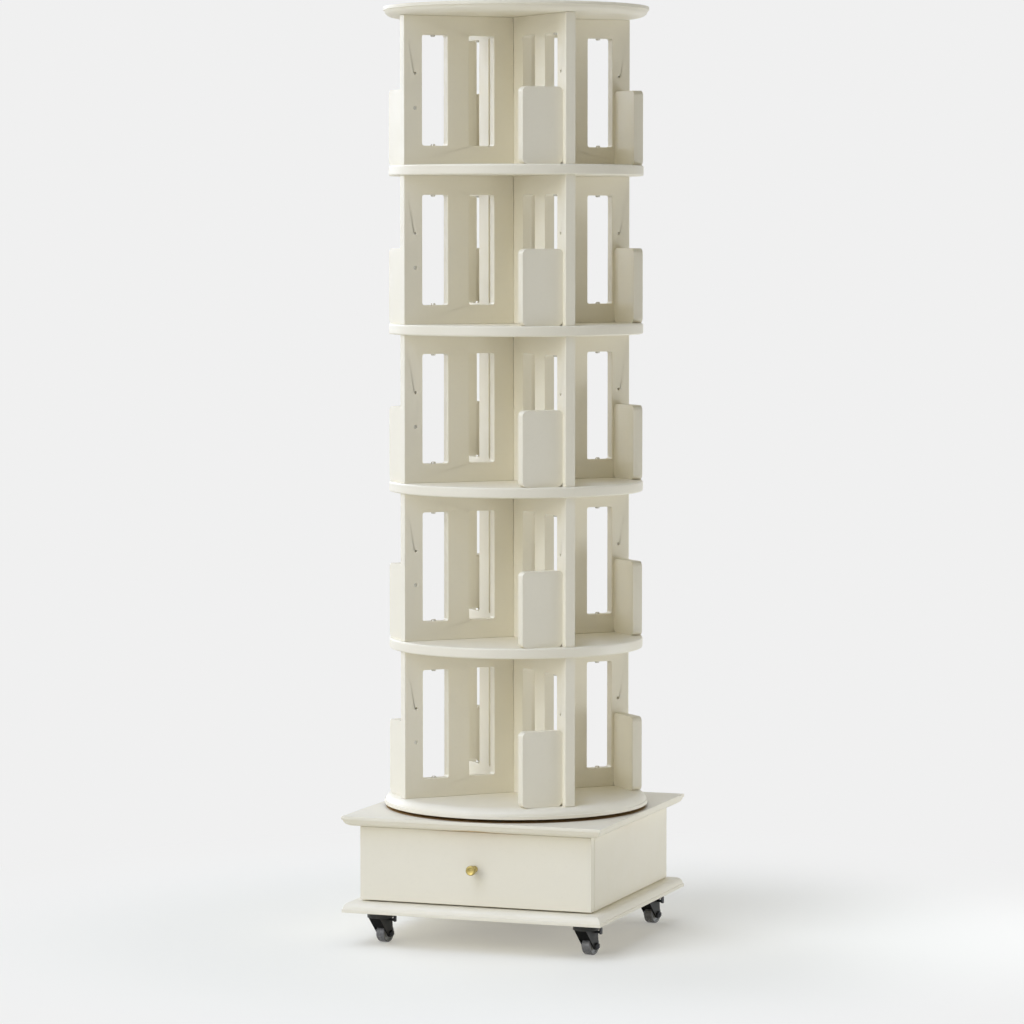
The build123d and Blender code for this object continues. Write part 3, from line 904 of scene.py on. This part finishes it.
@dataclass
class Tower:
    """The revolving tower: round boards, windowed cross boards, book stops and bolts."""

    palette: Palette
    heading: float = 45.0
    board_length: float = 0.432
    notch: float = 0.0188
    windows: tuple[float, ...] = (-0.158, -0.070, 0.070, 0.158)
    window: Flat = (0.048, 0.189)
    window_corner: float = 0.004
    stop_at: float = 0.195
    stop_size: Flat = (0.075, 0.130)
    stop_corner: float = 0.009
    screw_height: float = 0.097
    screw_seat: float = 0.0045
    spare_height: float = 0.156
    screw_hole: float = 0.0034
    spare_hole: float = 0.00225
    bolt_at: float = 0.158
    rail: float = 0.033
    rim_corners: int = 160
    rim_ease: float = 0.0006
    board_ease: float = 0.0009
    stop_ease: float = 0.0028
    board: FlatBoard = field(default_factory=FlatBoard)
    floors: list[float] = field(init=False)
    tier_height: float = field(init=False)
    arms: list[Vector] = field(init=False)

    def __post_init__(self) -> None:
        """Reads the height of every tier from its cross board, and sets the four arms."""
        boxes = [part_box(f"tier_{tier}_board_a") for tier in range(1, 6)]
        self.floors = [low.z for low, _ in boxes]
        self.tier_height = boxes[0][1].z - boxes[0][0].z
        self.arms = [turned(self.heading + 90 * quarter) @ ACROSS for quarter in range(4)]

    def round_boards(self) -> None:
        """Makes the two moulded end discs and the four shelves."""
        for name, rim_on_top in (("bottom_disc", False), ("top_disc", True)):
            low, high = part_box(name)
            rings = Moulding().rings((high.x - low.x) / 2, low.z, rim_on_top)
            self.dress_round(name, rings)
        for number in range(1, 5):
            low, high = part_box(f"shelf_{number}")
            self.dress_round(f"shelf_{number}", EasedEdge().rings((high.x - low.x) / 2, low.z))

    def dress_round(self, name: str, rings: list[Ring]) -> None:
        """Turns one round board and finishes it.

        Args:
            name: The board's node.
            rings: Its profile.
        """
        disc = Turner.run(f"{name}_made", rings, corners=self.rim_corners)
        Bench.ease(disc, self.rim_ease)
        if name == "bottom_disc":
            Bench.two_tone(disc, self.palette.slots["cream_paint"], self.palette.raw,
                           lambda face: face.normal.z < -FACING)
        self.palette.dress("tower", name, disc)

    def cross_board(self, name: str, notch_on_top: bool) -> Piece:
        """Makes one windowed cross board, lying flat with its foot at y = 0.

        Args:
            name: Name of the board.
            notch_on_top: Whether the half-lap notch comes down from the upper edge.

        Returns:
            The board.
        """
        tall = self.tier_height
        Bench.free()
        bpy.ops.mesh.primitive_plane_add(size=1.0)
        piece = Bench.named(name)
        Bench.open(piece)
        bpy.ops.transform.resize(value=(self.board_length, tall, 1.0))
        bpy.ops.transform.translate(value=(0.0, tall / 2, 0.0))
        for at, normal in (((-self.notch / 2, 0, 0), (1, 0, 0)), ((self.notch / 2, 0, 0), (1, 0, 0)),
                           ((0, tall / 2, 0), (0, 1, 0))):
            Bench.halve(at, normal)
        half = 1 if notch_on_top else -1
        Bench.select(piece, Pick.FACE, lambda face: abs(face.calc_center_median().x) < self.notch / 2
                     and half * (face.calc_center_median().y - tall / 2) > 0)
        bpy.ops.mesh.delete(type="FACE")
        Bench.every()
        bpy.ops.mesh.dissolve_limited(angle_limit=0.01)
        Bench.every()
        bpy.ops.mesh.delete(type="ONLY_FACE")
        for at in self.windows:
            FlatBoard.rounded((at, tall / 2), self.window, self.window_corner, 6)
        for side in (-1, 1):
            FlatBoard.hole((side * self.stop_at, self.screw_height), self.screw_hole)
            FlatBoard.hole((side * self.stop_at, self.spare_height), self.spare_hole)
        Bench.close()
        return self.board.cut(piece, self.board_ease)

    def cross_boards(self) -> None:
        """Makes the ten cross boards and stands them up."""
        for letter, heading in (("a", self.heading), ("b", self.heading - 90)):
            model = self.cross_board(f"board_{letter}_model", letter == "a")
            across = turned(heading) @ ACROSS
            for tier, floor in enumerate(self.floors, 1):
                board = Bench.copy(model, "board", standing(UP * floor, across))
                self.palette.dress("tower", f"tier_{tier}_board_{letter}", board,
                                   plain=across.cross(UP))
            bpy.data.objects.remove(model)

    def book_stops(self) -> None:
        """Makes the twenty book stops, four to a tier."""
        wide, tall = self.stop_size
        model = Bench.sheet("book_stop_model")
        FlatBoard.rounded((self.board.thickness / 2 + wide / 2, tall / 2), self.stop_size,
                          self.stop_corner, 7)
        Bench.close()
        self.board.cut(model, self.stop_ease, 4)
        for tier, floor in enumerate(self.floors, 1):
            stops = [Bench.copy(model, "stop", standing(arm * self.stop_at + UP * floor,
                                                        turned(-90) @ arm)) for arm in self.arms]
            self.palette.dress("tower", f"tier_{tier}_book_stops", *stops, smooth=50)
        bpy.data.objects.remove(model)

    def stop_screws(self) -> None:
        """Makes the screws that hold the book stops, from the far face of each board."""
        rings = [(0.0018, -0.046), (0.0025, -0.044), (0.0025, 0.0), (0.0034, 0.0), (0.0034, 0.0019),
                 (0.0030, 0.0024), (0.0017, 0.0025), (0.0015, 0.0008)]
        model = Turner.run("stop_screw_model", rings, corners=16)
        seat = self.board.thickness / 2 - self.screw_seat
        copies = []
        for floor in self.floors:
            for arm in self.arms:
                out = turned(90) @ arm
                origin = arm * self.stop_at + out * seat + UP * (floor + self.screw_height)
                place = Matrix.Translation(origin) @ out.to_track_quat("Z", "Y").to_matrix().to_4x4()
                copies.append(Bench.copy(model, "screw", place))
        bpy.data.objects.remove(model)
        self.palette.dress("tower", "book_stop_screws", *copies)

    def tie_bolts(self) -> None:
        """Makes the bolts and nuts that clamp each shelf between two rails."""
        head = [(0.0018, 0.0022), (0.0019, 0.0030), (0.0033, 0.0029), (0.0041, 0.0018),
                (0.00425, 0.0006), (0.00425, 0.0), (0.0025, 0.0), (0.0025, -0.045)]
        model = Turner.run("tie_bolt_model", head, corners=20)
        upside_down = Matrix.Rotation(math.pi, 4, "X")
        copies = []
        for arm in self.arms:
            for floor in self.floors:
                for height, way in ((self.rail, HOME), (self.tier_height - self.rail, upside_down)):
                    at = arm * self.bolt_at + UP * (floor + height)
                    copies.append(Bench.copy(model, "bolt", Matrix.Translation(at) @ way))
        bpy.data.objects.remove(model)
        self.palette.dress("tower", "tie_bolts", *copies)

    def build(self) -> None:
        """Makes the whole tower."""
        self.round_boards()
        self.cross_boards()
        self.book_stops()
        self.stop_screws()
        self.tie_bolts()


@dataclass
class Base:
    """The square base: two moulded plates with the case between them."""

    palette: Palette
    shadow_height: float = 0.0025
    shadow_depth: float = 0.003
    recess_radius: float = 0.1503
    recess_depth: float = 0.0025
    recess_clear: float = 0.01
    plate_ease: float = 0.0008
    case_ease: float = 0.0007
    foot_edge: Moulding = Moulding(quirk=0.0015, run=0.0125)
    top_edge: Moulding = Moulding()

    def plates(self) -> None:
        """Makes the two moulded plates."""
        low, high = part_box("base_bottom_plate")
        foot = Turner.run("base_bottom_plate_made", self.foot_edge.rings(high.x, low.z, False),
                          Outline.SQUARE)
        Bench.ease(foot, self.plate_ease)
        self.palette.dress("base", "base_bottom_plate", foot)
        low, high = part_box("base_top_plate")
        top = Turner.run("base_top_plate_made", self.top_edge.rings(high.x, low.z, True),
                         Outline.SQUARE)
        recess = Turner.run("recess", [(self.recess_radius, high.z - self.recess_depth),
                                       (self.recess_radius, high.z + self.recess_clear)],
                            corners=96)
        Bench.combine(top, recess)
        Bench.ease(top, self.plate_ease)
        self.palette.dress("base", "base_top_plate", top, finish=self.palette.ground)

    def case_board(self, node: str, outwards: Vector) -> None:
        """Makes one board of the case, with the dark groove along its foot.

        Args:
            node: The board's node.
            outwards: Direction of its outer face.
        """
        low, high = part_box(node)
        middle, size = (low + high) / 2, high - low
        outer = max(corner.dot(outwards) for corner in (low, high))
        foot = low.z + self.shadow_height
        piece = Bench.block(f"{node}_made", (middle.x, middle.y, (foot + high.z) / 2),
                            (size.x, size.y, high.z - foot))
        Bench.open(piece)
        step = outer - self.shadow_depth
        Bench.halve(outwards * step, outwards)
        Bench.select(piece, Pick.FACE, lambda face: face.normal.z < -FACING
                     and face.calc_center_median().dot(outwards) < step)
        Bench.pull(z=-self.shadow_height)
        Bench.close()
        Bench.true_up(piece)
        Bench.ease(piece, self.case_ease)
        self.palette.dress("base", node, piece)

    def case(self) -> None:
        """Makes the three fixed boards of the case."""
        for node, outwards in (("case_side_left", (-1, 0, 0)), ("case_side_right", (1, 0, 0)),
                               ("case_back", (0, 1, 0))):
            self.case_board(node, Vector(outwards))

    def build(self) -> None:
        """Makes the whole base."""
        self.plates()
        self.case()


@dataclass
class Drawer:
    """The drawer's front and its turned knob."""

    palette: Palette
    ease: float = 0.0009
    knob: tuple[Ring, ...] = (
        (0.0060, 0.0), (0.0060, 0.0013), (0.0056, 0.0019), (0.0045, 0.0027), (0.0040, 0.0040),
        (0.0039, 0.0110), (0.0047, 0.0126), (0.0080, 0.0138), (0.0084, 0.0143), (0.0085, 0.0150),
        (0.0085, 0.0198), (0.0083, 0.0208), (0.0078, 0.0215), (0.0071, 0.0219), (0.0064, 0.0220),
        (0.0056, 0.0217), (0.0010, 0.0214))

    def front(self) -> None:
        """Makes the drawer front, with a shallow groove at the back for the drawer's bottom."""
        low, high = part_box("drawer_front")
        bottom_low, bottom_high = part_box("drawer_bottom")
        piece = Bench.block("drawer_front_made", (low + high) / 2, high - low)
        Bench.open(piece)
        for along in (UP, ACROSS):
            for corner in (bottom_low, bottom_high):
                Bench.halve(along * corner.dot(along), along)
        Bench.select(piece, Pick.FACE, lambda face: face.normal.y > FACING
                     and abs(face.calc_center_median().x) < bottom_high.x
                     and bottom_low.z < face.calc_center_median().z < bottom_high.z)
        Bench.pull(y=bottom_low.y - high.y)
        Bench.close()
        Bench.true_up(piece)
        Bench.ease(piece, self.ease)
        self.palette.dress("drawer", "drawer_front", piece)

    def pull(self) -> None:
        """Turns the knob and sets it on the front."""
        low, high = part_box("drawer_front")
        knob = Turner.run("drawer_knob_made", self.knob, corners=48)
        place = Matrix.Translation((0.0, low.y, (low.z + high.z) / 2))
        Bench.settle(knob, place @ Matrix.Rotation(math.pi / 2, 4, "X"))
        self.palette.dress("drawer", "drawer_knob", knob, smooth=50)

    def build(self) -> None:
        """Makes the parts of the drawer that show."""
        self.front()
        self.pull()


@dataclass
class Caster:
    """One braked swivel caster, modelled on its swivel axis with the trail along +X."""

    palette: Palette
    end: str
    side: str
    at: Flat = CASTERS_AT
    heading: float = 76.0
    trail: float = 0.014
    axle_z: float = 0.016
    leg_in: float = 0.0095
    leg: float = 0.0025
    leg_radius: float = 0.007
    leg_ease: float = 0.0005
    root_length: float = 0.0370
    root_height: float = 0.0098
    root_rise: float = 0.005
    crown_low: float = 0.0452
    hood_low: float = 0.027
    hood_high: float = 0.0474
    hood_at: float = -0.0020
    hood_thick: float = 0.0032
    hood_lean: float = 0.82
    hood_ease: float = 0.0006
    hood_reach: float = 0.0221
    brake_x: float = 0.013
    brake_z: float = 0.0405
    tab: Flat = (0.0065, 0.012)
    tab_corner: float = 0.0021
    tab_ease: float = 0.0006
    tab_rise: float = 0.0025
    tab_out: float = -0.02193
    tab_board: FlatBoard = field(default_factory=lambda: FlatBoard(thickness=0.0025))
    cam_out: float = 0.003
    kingpin_bore: float = 0.0041
    axle_bore: float = 0.00306
    brake_bore: float = 0.00258
    bore_reach: float = 0.02
    bar_tip: float = 0.0005
    # Bounds of the painted shade in the fork: faces this far below the crown, on the hood's side of
    # this point along the trail.
    hood_shade_gap: float = 0.0002
    hood_shade_x: float = 0.004
    tread_from: float = 0.0137
    models: dict[str, Piece] = field(default_factory=dict)

    @staticmethod
    def sideways(piece: Piece, x: float, z: float) -> Piece:
        """Lays a piece that was turned on the Z axis along Y, at x and height z."""
        place = Matrix.Translation((x, 0.0, z)) @ Matrix.Rotation(-math.pi / 2, 4, "X")
        return Bench.settle(piece, place)

    def bar(self, name: str, radius: float, low: float, high: float, x: float, z: float,
            corners: int = 24) -> Piece:
        """Plain bar along the axle's direction with bevelled ends.

        Args:
            name: Its name.
            radius: Its radius.
            low: Where it starts.
            high: Where it ends.
            x: Its place along the trail.
            z: Its height.
            corners: Corners of its outline.

        Returns:
            The bar.
        """
        tip = min(self.bar_tip, radius / 8)
        rings = [(radius - tip, low), (radius, low + tip), (radius, high - tip),
                 (radius - tip, high)]
        return self.sideways(Turner.run(name, rings, corners=corners), x, z)

    def bore(self, radius: float, x: float, z: float) -> Piece:
        """Plug of a hole along the axle's direction."""
        return self.bar("bore", radius, -self.bore_reach, self.bore_reach, x, z)

    def fork(self) -> Piece:
        """Pressed fork: a cupped crown, two tapered legs and the hood between them, with painted
        shade on the faces under the crown.

        Returns:
            The fork.
        """
        low = self.crown_low
        fork = Turner.run("fork_model", [(0.0200, 0.0552), (0.0200, low + 0.0003),
                                         (0.0203, low), (0.0222, low), (0.0225, low + 0.0003),
                                         (0.0225, 0.0562), (0.0222, 0.0570), (0.0215, 0.0575),
                                         (0.0206, 0.0577)], corners=72)
        for side in (-1, 1):
            middle = side * (self.leg_in + self.leg / 2)
            Bench.free()
            bpy.ops.mesh.primitive_cylinder_add(
                vertices=36, radius=self.leg_radius, depth=self.leg, rotation=(math.pi / 2, 0.0, 0.0),
                location=(self.trail, middle, self.axle_z))
            leg = Bench.settle(Bench.named("leg"))
            root = Bench.block("root", (0.0, middle, low + self.root_rise),
                               (self.root_length, self.leg, self.root_height))
            leg = Bench.join("leg", [leg, root])
            Bench.open(leg)
            Bench.every()
            bpy.ops.mesh.convex_hull()
            Bench.close()
            Bench.ease(leg, self.leg_ease, 2, 50)
            Bench.combine(fork, leg, Cut.ADD)
        Bench.combine(fork, self.hood(), Cut.ADD)
        kingpin = Turner.run("bore", [(self.kingpin_bore, 0.04), (self.kingpin_bore, 0.06)],
                             corners=32)
        Bench.combine(fork, kingpin)
        Bench.combine(fork, self.bore(self.axle_bore, self.trail, self.axle_z))
        Bench.combine(fork, self.bore(self.brake_bore, self.brake_x, self.brake_z))
        fork.data.materials.clear()
        inner = self.leg_in + self.leg / 2
        # Painted shade: faces under the crown, on the hood's side and between the legs, take the
        # near-black copy of the coat instead of their own colour.
        Bench.two_tone(fork, self.palette.slots["black_steel"], self.palette.painted_shade,
                       lambda face: face.center.z < low - self.hood_shade_gap
                       and face.center.x < self.hood_shade_x and abs(face.center.y) < inner)
        return fork

    def hood(self) -> Piece:
        """Sloping web that joins the leading edges of the legs, in front of the wheel.

        Returns:
            The hood.
        """
        tall = self.hood_high - self.hood_low
        hood = Bench.block("hood", (self.hood_at, 0.0, self.hood_low + tall / 2),
                           (self.hood_thick, 2 * self.leg_in + self.leg, tall))
        Bench.open(hood)
        Bench.select(hood, Pick.FACE, lambda face: face.normal.z > FACING)
        bpy.ops.transform.translate(value=(-self.hood_lean * tall, 0.0, 0.0))
        Bench.close()
        Bench.ease(hood, self.hood_ease, 3)
        keep = Turner.run("keep", [(self.hood_reach, 0.02), (self.hood_reach, 0.055)], corners=72)
        Bench.combine(hood, keep, Cut.WITHIN)
        return hood

    def wheel(self) -> Piece:
        """Moulded wheel with a dished web, a hub and a darker tread.

        Returns:
            The wheel.
        """
        half = [(0.0050, 0.0085), (0.0058, 0.0083), (0.0062, 0.0058), (0.0068, 0.0055),
                (0.0112, 0.0055), (0.0118, 0.0058), (0.0122, 0.0081), (0.0127, 0.0085),
                (0.0134, 0.0085), (0.0136, 0.0082), (0.0138, 0.0085), (0.0143, 0.0085),
                (0.0151, 0.0081), (0.0157, 0.0073), (0.0160, 0.0062)]
        rings = [(radius, -out) for radius, out in half] + list(reversed(half))
        wheel = self.sideways(Turner.run("wheel_model", rings, corners=72), self.trail, self.axle_z)
        Bench.combine(wheel, self.bore(self.axle_bore, self.trail, self.axle_z))
        Bench.two_tone(wheel, self.palette.slots["wheel_grey"], self.palette.tread,
                       lambda face: math.hypot(face.center.x - self.trail,
                                               face.center.z - self.axle_z) > self.tread_from)
        return wheel

    def axle(self) -> Piece:
        """Hexagon bolt through the legs, with its nut.

        Returns:
            The bolt and nut.
        """
        out = self.leg_in + self.leg
        head = Turner.run("head", [(0.0054, out), (0.00577, out + 0.0004), (0.00577, out + 0.0029),
                                   (0.0050, out + 0.0035)], corners=6)
        nut = Turner.run("nut", [(0.0050, -out - 0.0045), (0.00577, -out - 0.0039),
                                 (0.00577, -out - 0.0005), (0.0054, -out)], corners=6)
        shank = Turner.run("shank", [(0.0025, -out - 0.0057), (0.0030, -out - 0.0051),
                                     (0.0030, out + 0.001)], corners=24)
        pieces = [self.sideways(part, self.trail, self.axle_z) for part in (head, nut, shank)]
        return Bench.join("axle_model", pieces)

    def brake(self) -> Piece:
        """Cross pin with its cam, and the tab that turns it.

        Returns:
            The brake.
        """
        rivet = Turner.run("rivet", [(0.00375, 0.0124), (0.00375, 0.0129), (0.0034, 0.0134),
                                     (0.0026, 0.0136)], corners=24)
        rivet = self.sideways(rivet, self.brake_x, self.brake_z)
        pin = self.bar("pin", 0.0025, -0.0222, 0.013, self.brake_x, self.brake_z)
        cam = self.bar("cam", 0.0050, -0.0075, 0.0075, self.brake_x + self.cam_out, self.brake_z,
                       36)
        tab = Bench.sheet("tab")
        FlatBoard.rounded((0.0, self.tab_rise), self.tab, self.tab_corner, 6)
        Bench.close()
        self.tab_board.cut(tab, self.tab_ease, 3)
        origin = Vector((self.brake_x, self.tab_out, self.brake_z))
        Bench.settle(tab, standing(origin, ACROSS))
        return Bench.join("brake_model", [rivet, pin, cam, tab])

    def build(self) -> None:
        """Makes the caster's moving parts, or copies them from the first caster."""
        if not self.models:
            self.models.update(fork=self.fork(), wheel=self.wheel(), axle=self.axle(),
                               brake=self.brake())
        x = -self.at[0] if self.side == "left" else self.at[0]
        y = -self.at[1] if self.end == "front" else self.at[1]
        place = Matrix.Translation((x, y, 0.0)) @ turned(self.heading)
        name = f"caster_{self.end}_{self.side}"
        for part, body in (("fork", "swivel"), ("axle", "swivel"), ("wheel", "roller"),
                           ("brake", "lock")):
            piece = Bench.copy(self.models[part], part, place)
            self.palette.dress(f"{name}_{body}", f"{name}_{part}", piece)


@dataclass
class CasterPads:
    """The mounting pads with their kingpins and screws."""

    palette: Palette
    at: Flat = CASTERS_AT
    screw_at: float = 0.0195
    plate: Flat = (0.050, 0.050)
    plate_corner: float = 0.005
    plate_ease: float = 0.0003
    plate_middle: float = 0.059
    board: FlatBoard = field(default_factory=lambda: FlatBoard(thickness=0.002))

    def build(self) -> None:
        """Makes one pad and one screw and copies them to their places."""
        plate = Bench.sheet("plate")
        FlatBoard.rounded((0.0, 0.0), self.plate, self.plate_corner, 6)
        Bench.close()
        self.board.cut(plate, self.plate_ease)
        Bench.settle(plate, Matrix.Translation(UP * self.plate_middle))
        kingpin = Turner.run("kingpin", [(0.0052, 0.0524), (0.0062, 0.0527), (0.0065, 0.0533),
                                         (0.0065, 0.0549), (0.0040, 0.0549), (0.0040, 0.0585)],
                             corners=32)
        pad = Bench.join("pad_model", [plate, kingpin])
        screw = Turner.run("screw_model", [(0.0012, 0.0568), (0.0014, 0.0558), (0.0028, 0.0559),
                                           (0.0035, 0.0564), (0.00375, 0.0572), (0.00375, 0.0580),
                                           (0.0020, 0.0580), (0.0020, 0.0730)], corners=20)
        places = [Matrix.Translation((x, y, 0.0)) for x in (-self.at[0], self.at[0])
                  for y in (-self.at[1], self.at[1])]
        corners = [Matrix.Translation((x, y, 0.0)) for x in (-self.screw_at, self.screw_at)
                   for y in (-self.screw_at, self.screw_at)]
        pads = [Bench.copy(pad, "pad", place) for place in places]
        screws = [Bench.copy(screw, "screw", place @ corner) for place in places
                  for corner in corners]
        for model in (pad, screw):
            bpy.data.objects.remove(model)
        self.palette.dress("base", "caster_pads", *pads)
        self.palette.dress("base", "caster_screws", *screws)


@dataclass(frozen=True)
class Lamp:
    """One wide soft lamp, far away.

    Azimuth is where it shines from, in degrees from +X, height is in degrees above the
    horizon, and spread is its apparent width in degrees.
    """

    name: str
    azimuth: float
    height: float
    strength: float
    spread: float
    colour: Colour

    def hang(self) -> None:
        """Hangs the lamp."""
        Bench.free()
        bpy.ops.object.light_add(type="SUN", location=(0.0, 0.0, 4.0))
        lamp = bpy.context.view_layer.objects.active
        lamp.name = self.name
        lamp.data.energy = self.strength
        lamp.data.angle = math.radians(self.spread)
        lamp.data.color = self.colour
        turn, rise = math.radians(self.azimuth), math.radians(self.height)
        towards = Vector((math.cos(turn) * math.cos(rise), math.sin(turn) * math.cos(rise),
                          math.sin(rise)))
        lamp.rotation_euler = towards.to_track_quat("Z", "Y").to_euler()


@dataclass
class Studio:
    """Pale room, soft lamps and the camera."""

    backdrop: float = 0.872
    ambient: float = 0.17
    room_tint: Colour = (1.05, 1.0, 0.85)
    window_tint: Colour = (0.92, 1.0, 1.20)
    key_tint: Colour = (0.98, 1.0, 1.02)
    sky_tint: Colour = (0.88, 1.0, 1.36)
    panel_tint: Colour = (0.94, 1.0, 1.13)
    floor_colour: Colour = (0.88, 0.84, 0.74)
    floor_shown: Colour = (1.0, 0.965, 0.82)
    floor_glow: float = 0.24
    floor_near: float = 1.0
    floor_fade: Flat = (0.5, 1.25)
    floor_size: float = 400.0
    panel_size: Flat = (1.2, 0.5)
    panel_power: float = 6.8
    panel_azimuth: float = 20.0
    panel_away: float = 1.6
    panel_height: float = 0.3
    panel_aim: float = 0.25
    camera_distance: float = 7.141
    camera_height: float = 1.2312
    camera_azimuth: float = 19.8
    camera_drop: float = 3.9256
    axis_offset: float = 0.00714
    lens: float = 144.31
    sensor: float = 36.0
    far: float = 1000.0

    @property
    def lamps(self) -> tuple[Lamp, ...]:
        """The soft lamps that stand far away."""
        return (Lamp("window", 150.0, 15.0, 1.16, 40.0, self.window_tint),
                Lamp("key_low", 240.0, 15.0, 0.92, 40.0, self.key_tint),
                Lamp("key_high", 245.0, 45.0, 0.82, 40.0, self.sky_tint),
                Lamp("sky", 230.0, 78.0, 0.78, 50.0, self.sky_tint))

    def world(self) -> None:
        """Lights the room evenly and shows a pale backdrop to the camera."""
        world = bpy.data.worlds.new("room")
        bpy.context.scene.world = world
        world.use_nodes = True
        room = Wiring(world.node_tree)
        soft = room.tree.nodes["Background"]
        soft.inputs["Color"].default_value = (*self.room_tint, 1.0)
        soft.inputs["Strength"].default_value = self.ambient
        shown = room.add("ShaderNodeBackground")
        shown.inputs["Color"].default_value = (self.backdrop, self.backdrop, self.backdrop, 1.0)
        self.show(room, soft.outputs["Background"], shown.outputs["Background"],
                  room.tree.nodes["World Output"])

    @staticmethod
    def show(wiring: Wiring, lit: Socket, shown: Socket, output: bpy.types.Node) -> None:
        """Gives a surface one look for its light and another for the eye.

        The second is what is seen straight, in a mirror or through glass.

        Args:
            wiring: The node tree to add it to.
            lit: How the surface takes and gives light.
            shown: How it looks.
            output: The tree's output.
        """
        path = wiring.add("ShaderNodeLightPath")
        total = path.outputs["Is Camera Ray"]
        for name in ("Is Glossy Ray", "Is Transmission Ray"):
            add = wiring.add("ShaderNodeMath", operation="MAXIMUM")
            wiring.join(total, add.inputs[0])
            wiring.join(path.outputs[name], add.inputs[1])
            total = add.outputs["Value"]
        wiring.join(wiring.mixed(total, lit, shown), output.inputs["Surface"])

    def floor(self) -> None:
        """Lays a wide pale floor that keeps the object's shadow."""
        Bench.free()
        bpy.ops.mesh.primitive_plane_add(size=self.floor_size)
        floor = Bench.named("floor")
        paint = Shader("pale_floor")
        paint.tree.nodes.remove(paint.base)
        matt = paint.add("ShaderNodeBsdfDiffuse")
        matt.inputs["Color"].default_value = (*self.floor_colour, 1.0)
        bright = paint.add("ShaderNodeBsdfDiffuse")
        bright.inputs["Color"].default_value = (*self.floor_shown, 1.0)
        glow = paint.add("ShaderNodeEmission")
        reach = paint.add("ShaderNodeVectorMath", operation="LENGTH")
        paint.join(paint.place, reach.inputs[0])
        share, strength = (
            paint.spread(reach.outputs["Value"], near, far, *self.floor_fade, smooth=True)
            for near, far in ((self.floor_glow, 1.0), (self.floor_near, self.backdrop)))
        paint.join(strength, glow.inputs["Strength"])
        shown = paint.mixed(share, bright.outputs["BSDF"], glow.outputs["Emission"])
        self.show(paint, matt.outputs["BSDF"], shown, paint.tree.nodes["Material Output"])
        floor.data.materials.append(paint.material)

    def reflector(self) -> None:
        """Stands a low soft panel on the right, close to the base."""
        Bench.free()
        bpy.ops.object.light_add(type="AREA")
        panel = bpy.context.view_layer.objects.active
        panel.name = "panel"
        panel.data.shape = "RECTANGLE"
        panel.data.size, panel.data.size_y = self.panel_size
        panel.data.energy = self.panel_power
        panel.data.color = self.panel_tint
        panel.visible_camera = False
        turn = math.radians(self.panel_azimuth)
        panel.location = (self.panel_away * math.cos(turn), self.panel_away * math.sin(turn),
                          self.panel_height)
        away = panel.location - UP * self.panel_aim
        panel.rotation_euler = away.to_track_quat("Z", "Y").to_euler()

    def camera(self) -> None:
        """Sets the camera level with the upper tiers, looking a little down."""
        turn, drop = math.radians(self.camera_azimuth), math.radians(self.camera_drop)
        right = Vector((math.cos(turn), math.sin(turn), 0.0))
        back = Vector((math.sin(turn), -math.cos(turn), 0.0))
        Bench.free()
        bpy.ops.object.camera_add()
        camera = bpy.context.view_layer.objects.active
        camera.location = (back * self.camera_distance - right * self.axis_offset
                           + UP * self.camera_height)
        towards_camera = back * math.cos(drop) + UP * math.sin(drop)
        camera.rotation_euler = towards_camera.to_track_quat("Z", "Y").to_euler()
        camera.data.lens = self.lens
        camera.data.sensor_width = self.sensor
        camera.data.clip_end = self.far
        bpy.context.scene.camera = camera

    def build(self) -> None:
        """Makes the room, hangs the lamps and sets the camera."""
        self.world()
        self.floor()
        for lamp in self.lamps:
            lamp.hang()
        self.reflector()
        self.camera()
        bpy.context.scene.view_settings.view_transform = "Standard"


def dress_carried(palette: Palette) -> None:
    """Gives every CAD node that stays its finish.

    Args:
        palette: The finishes.
    """
    for name, node in frame["nodes"].items():
        if node.hide_render:
            continue
        node.data.materials.clear()
        node.data.materials.append(palette.slots[SLOT_OF[name]])
        log.info("%s: carried over", name)


def main() -> None:
    """Builds the bookcase, then the room, the lamps and the camera."""
    logging.basicConfig(level=logging.INFO, format="%(name)s: %(message)s")
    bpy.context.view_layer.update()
    palette = Palette.mixed()
    Tower(palette).build()
    Base(palette).build()
    Drawer(palette).build()
    CasterPads(palette).build()
    models: dict[str, Piece] = {}
    for side in ("left", "right"):
        for end in ("front", "rear"):
            Caster(palette, end, side, models=models).build()
    for model in models.values():
        bpy.data.objects.remove(model)
    dress_carried(palette)
    Studio().build()


if __name__ == "__main__":
    main()
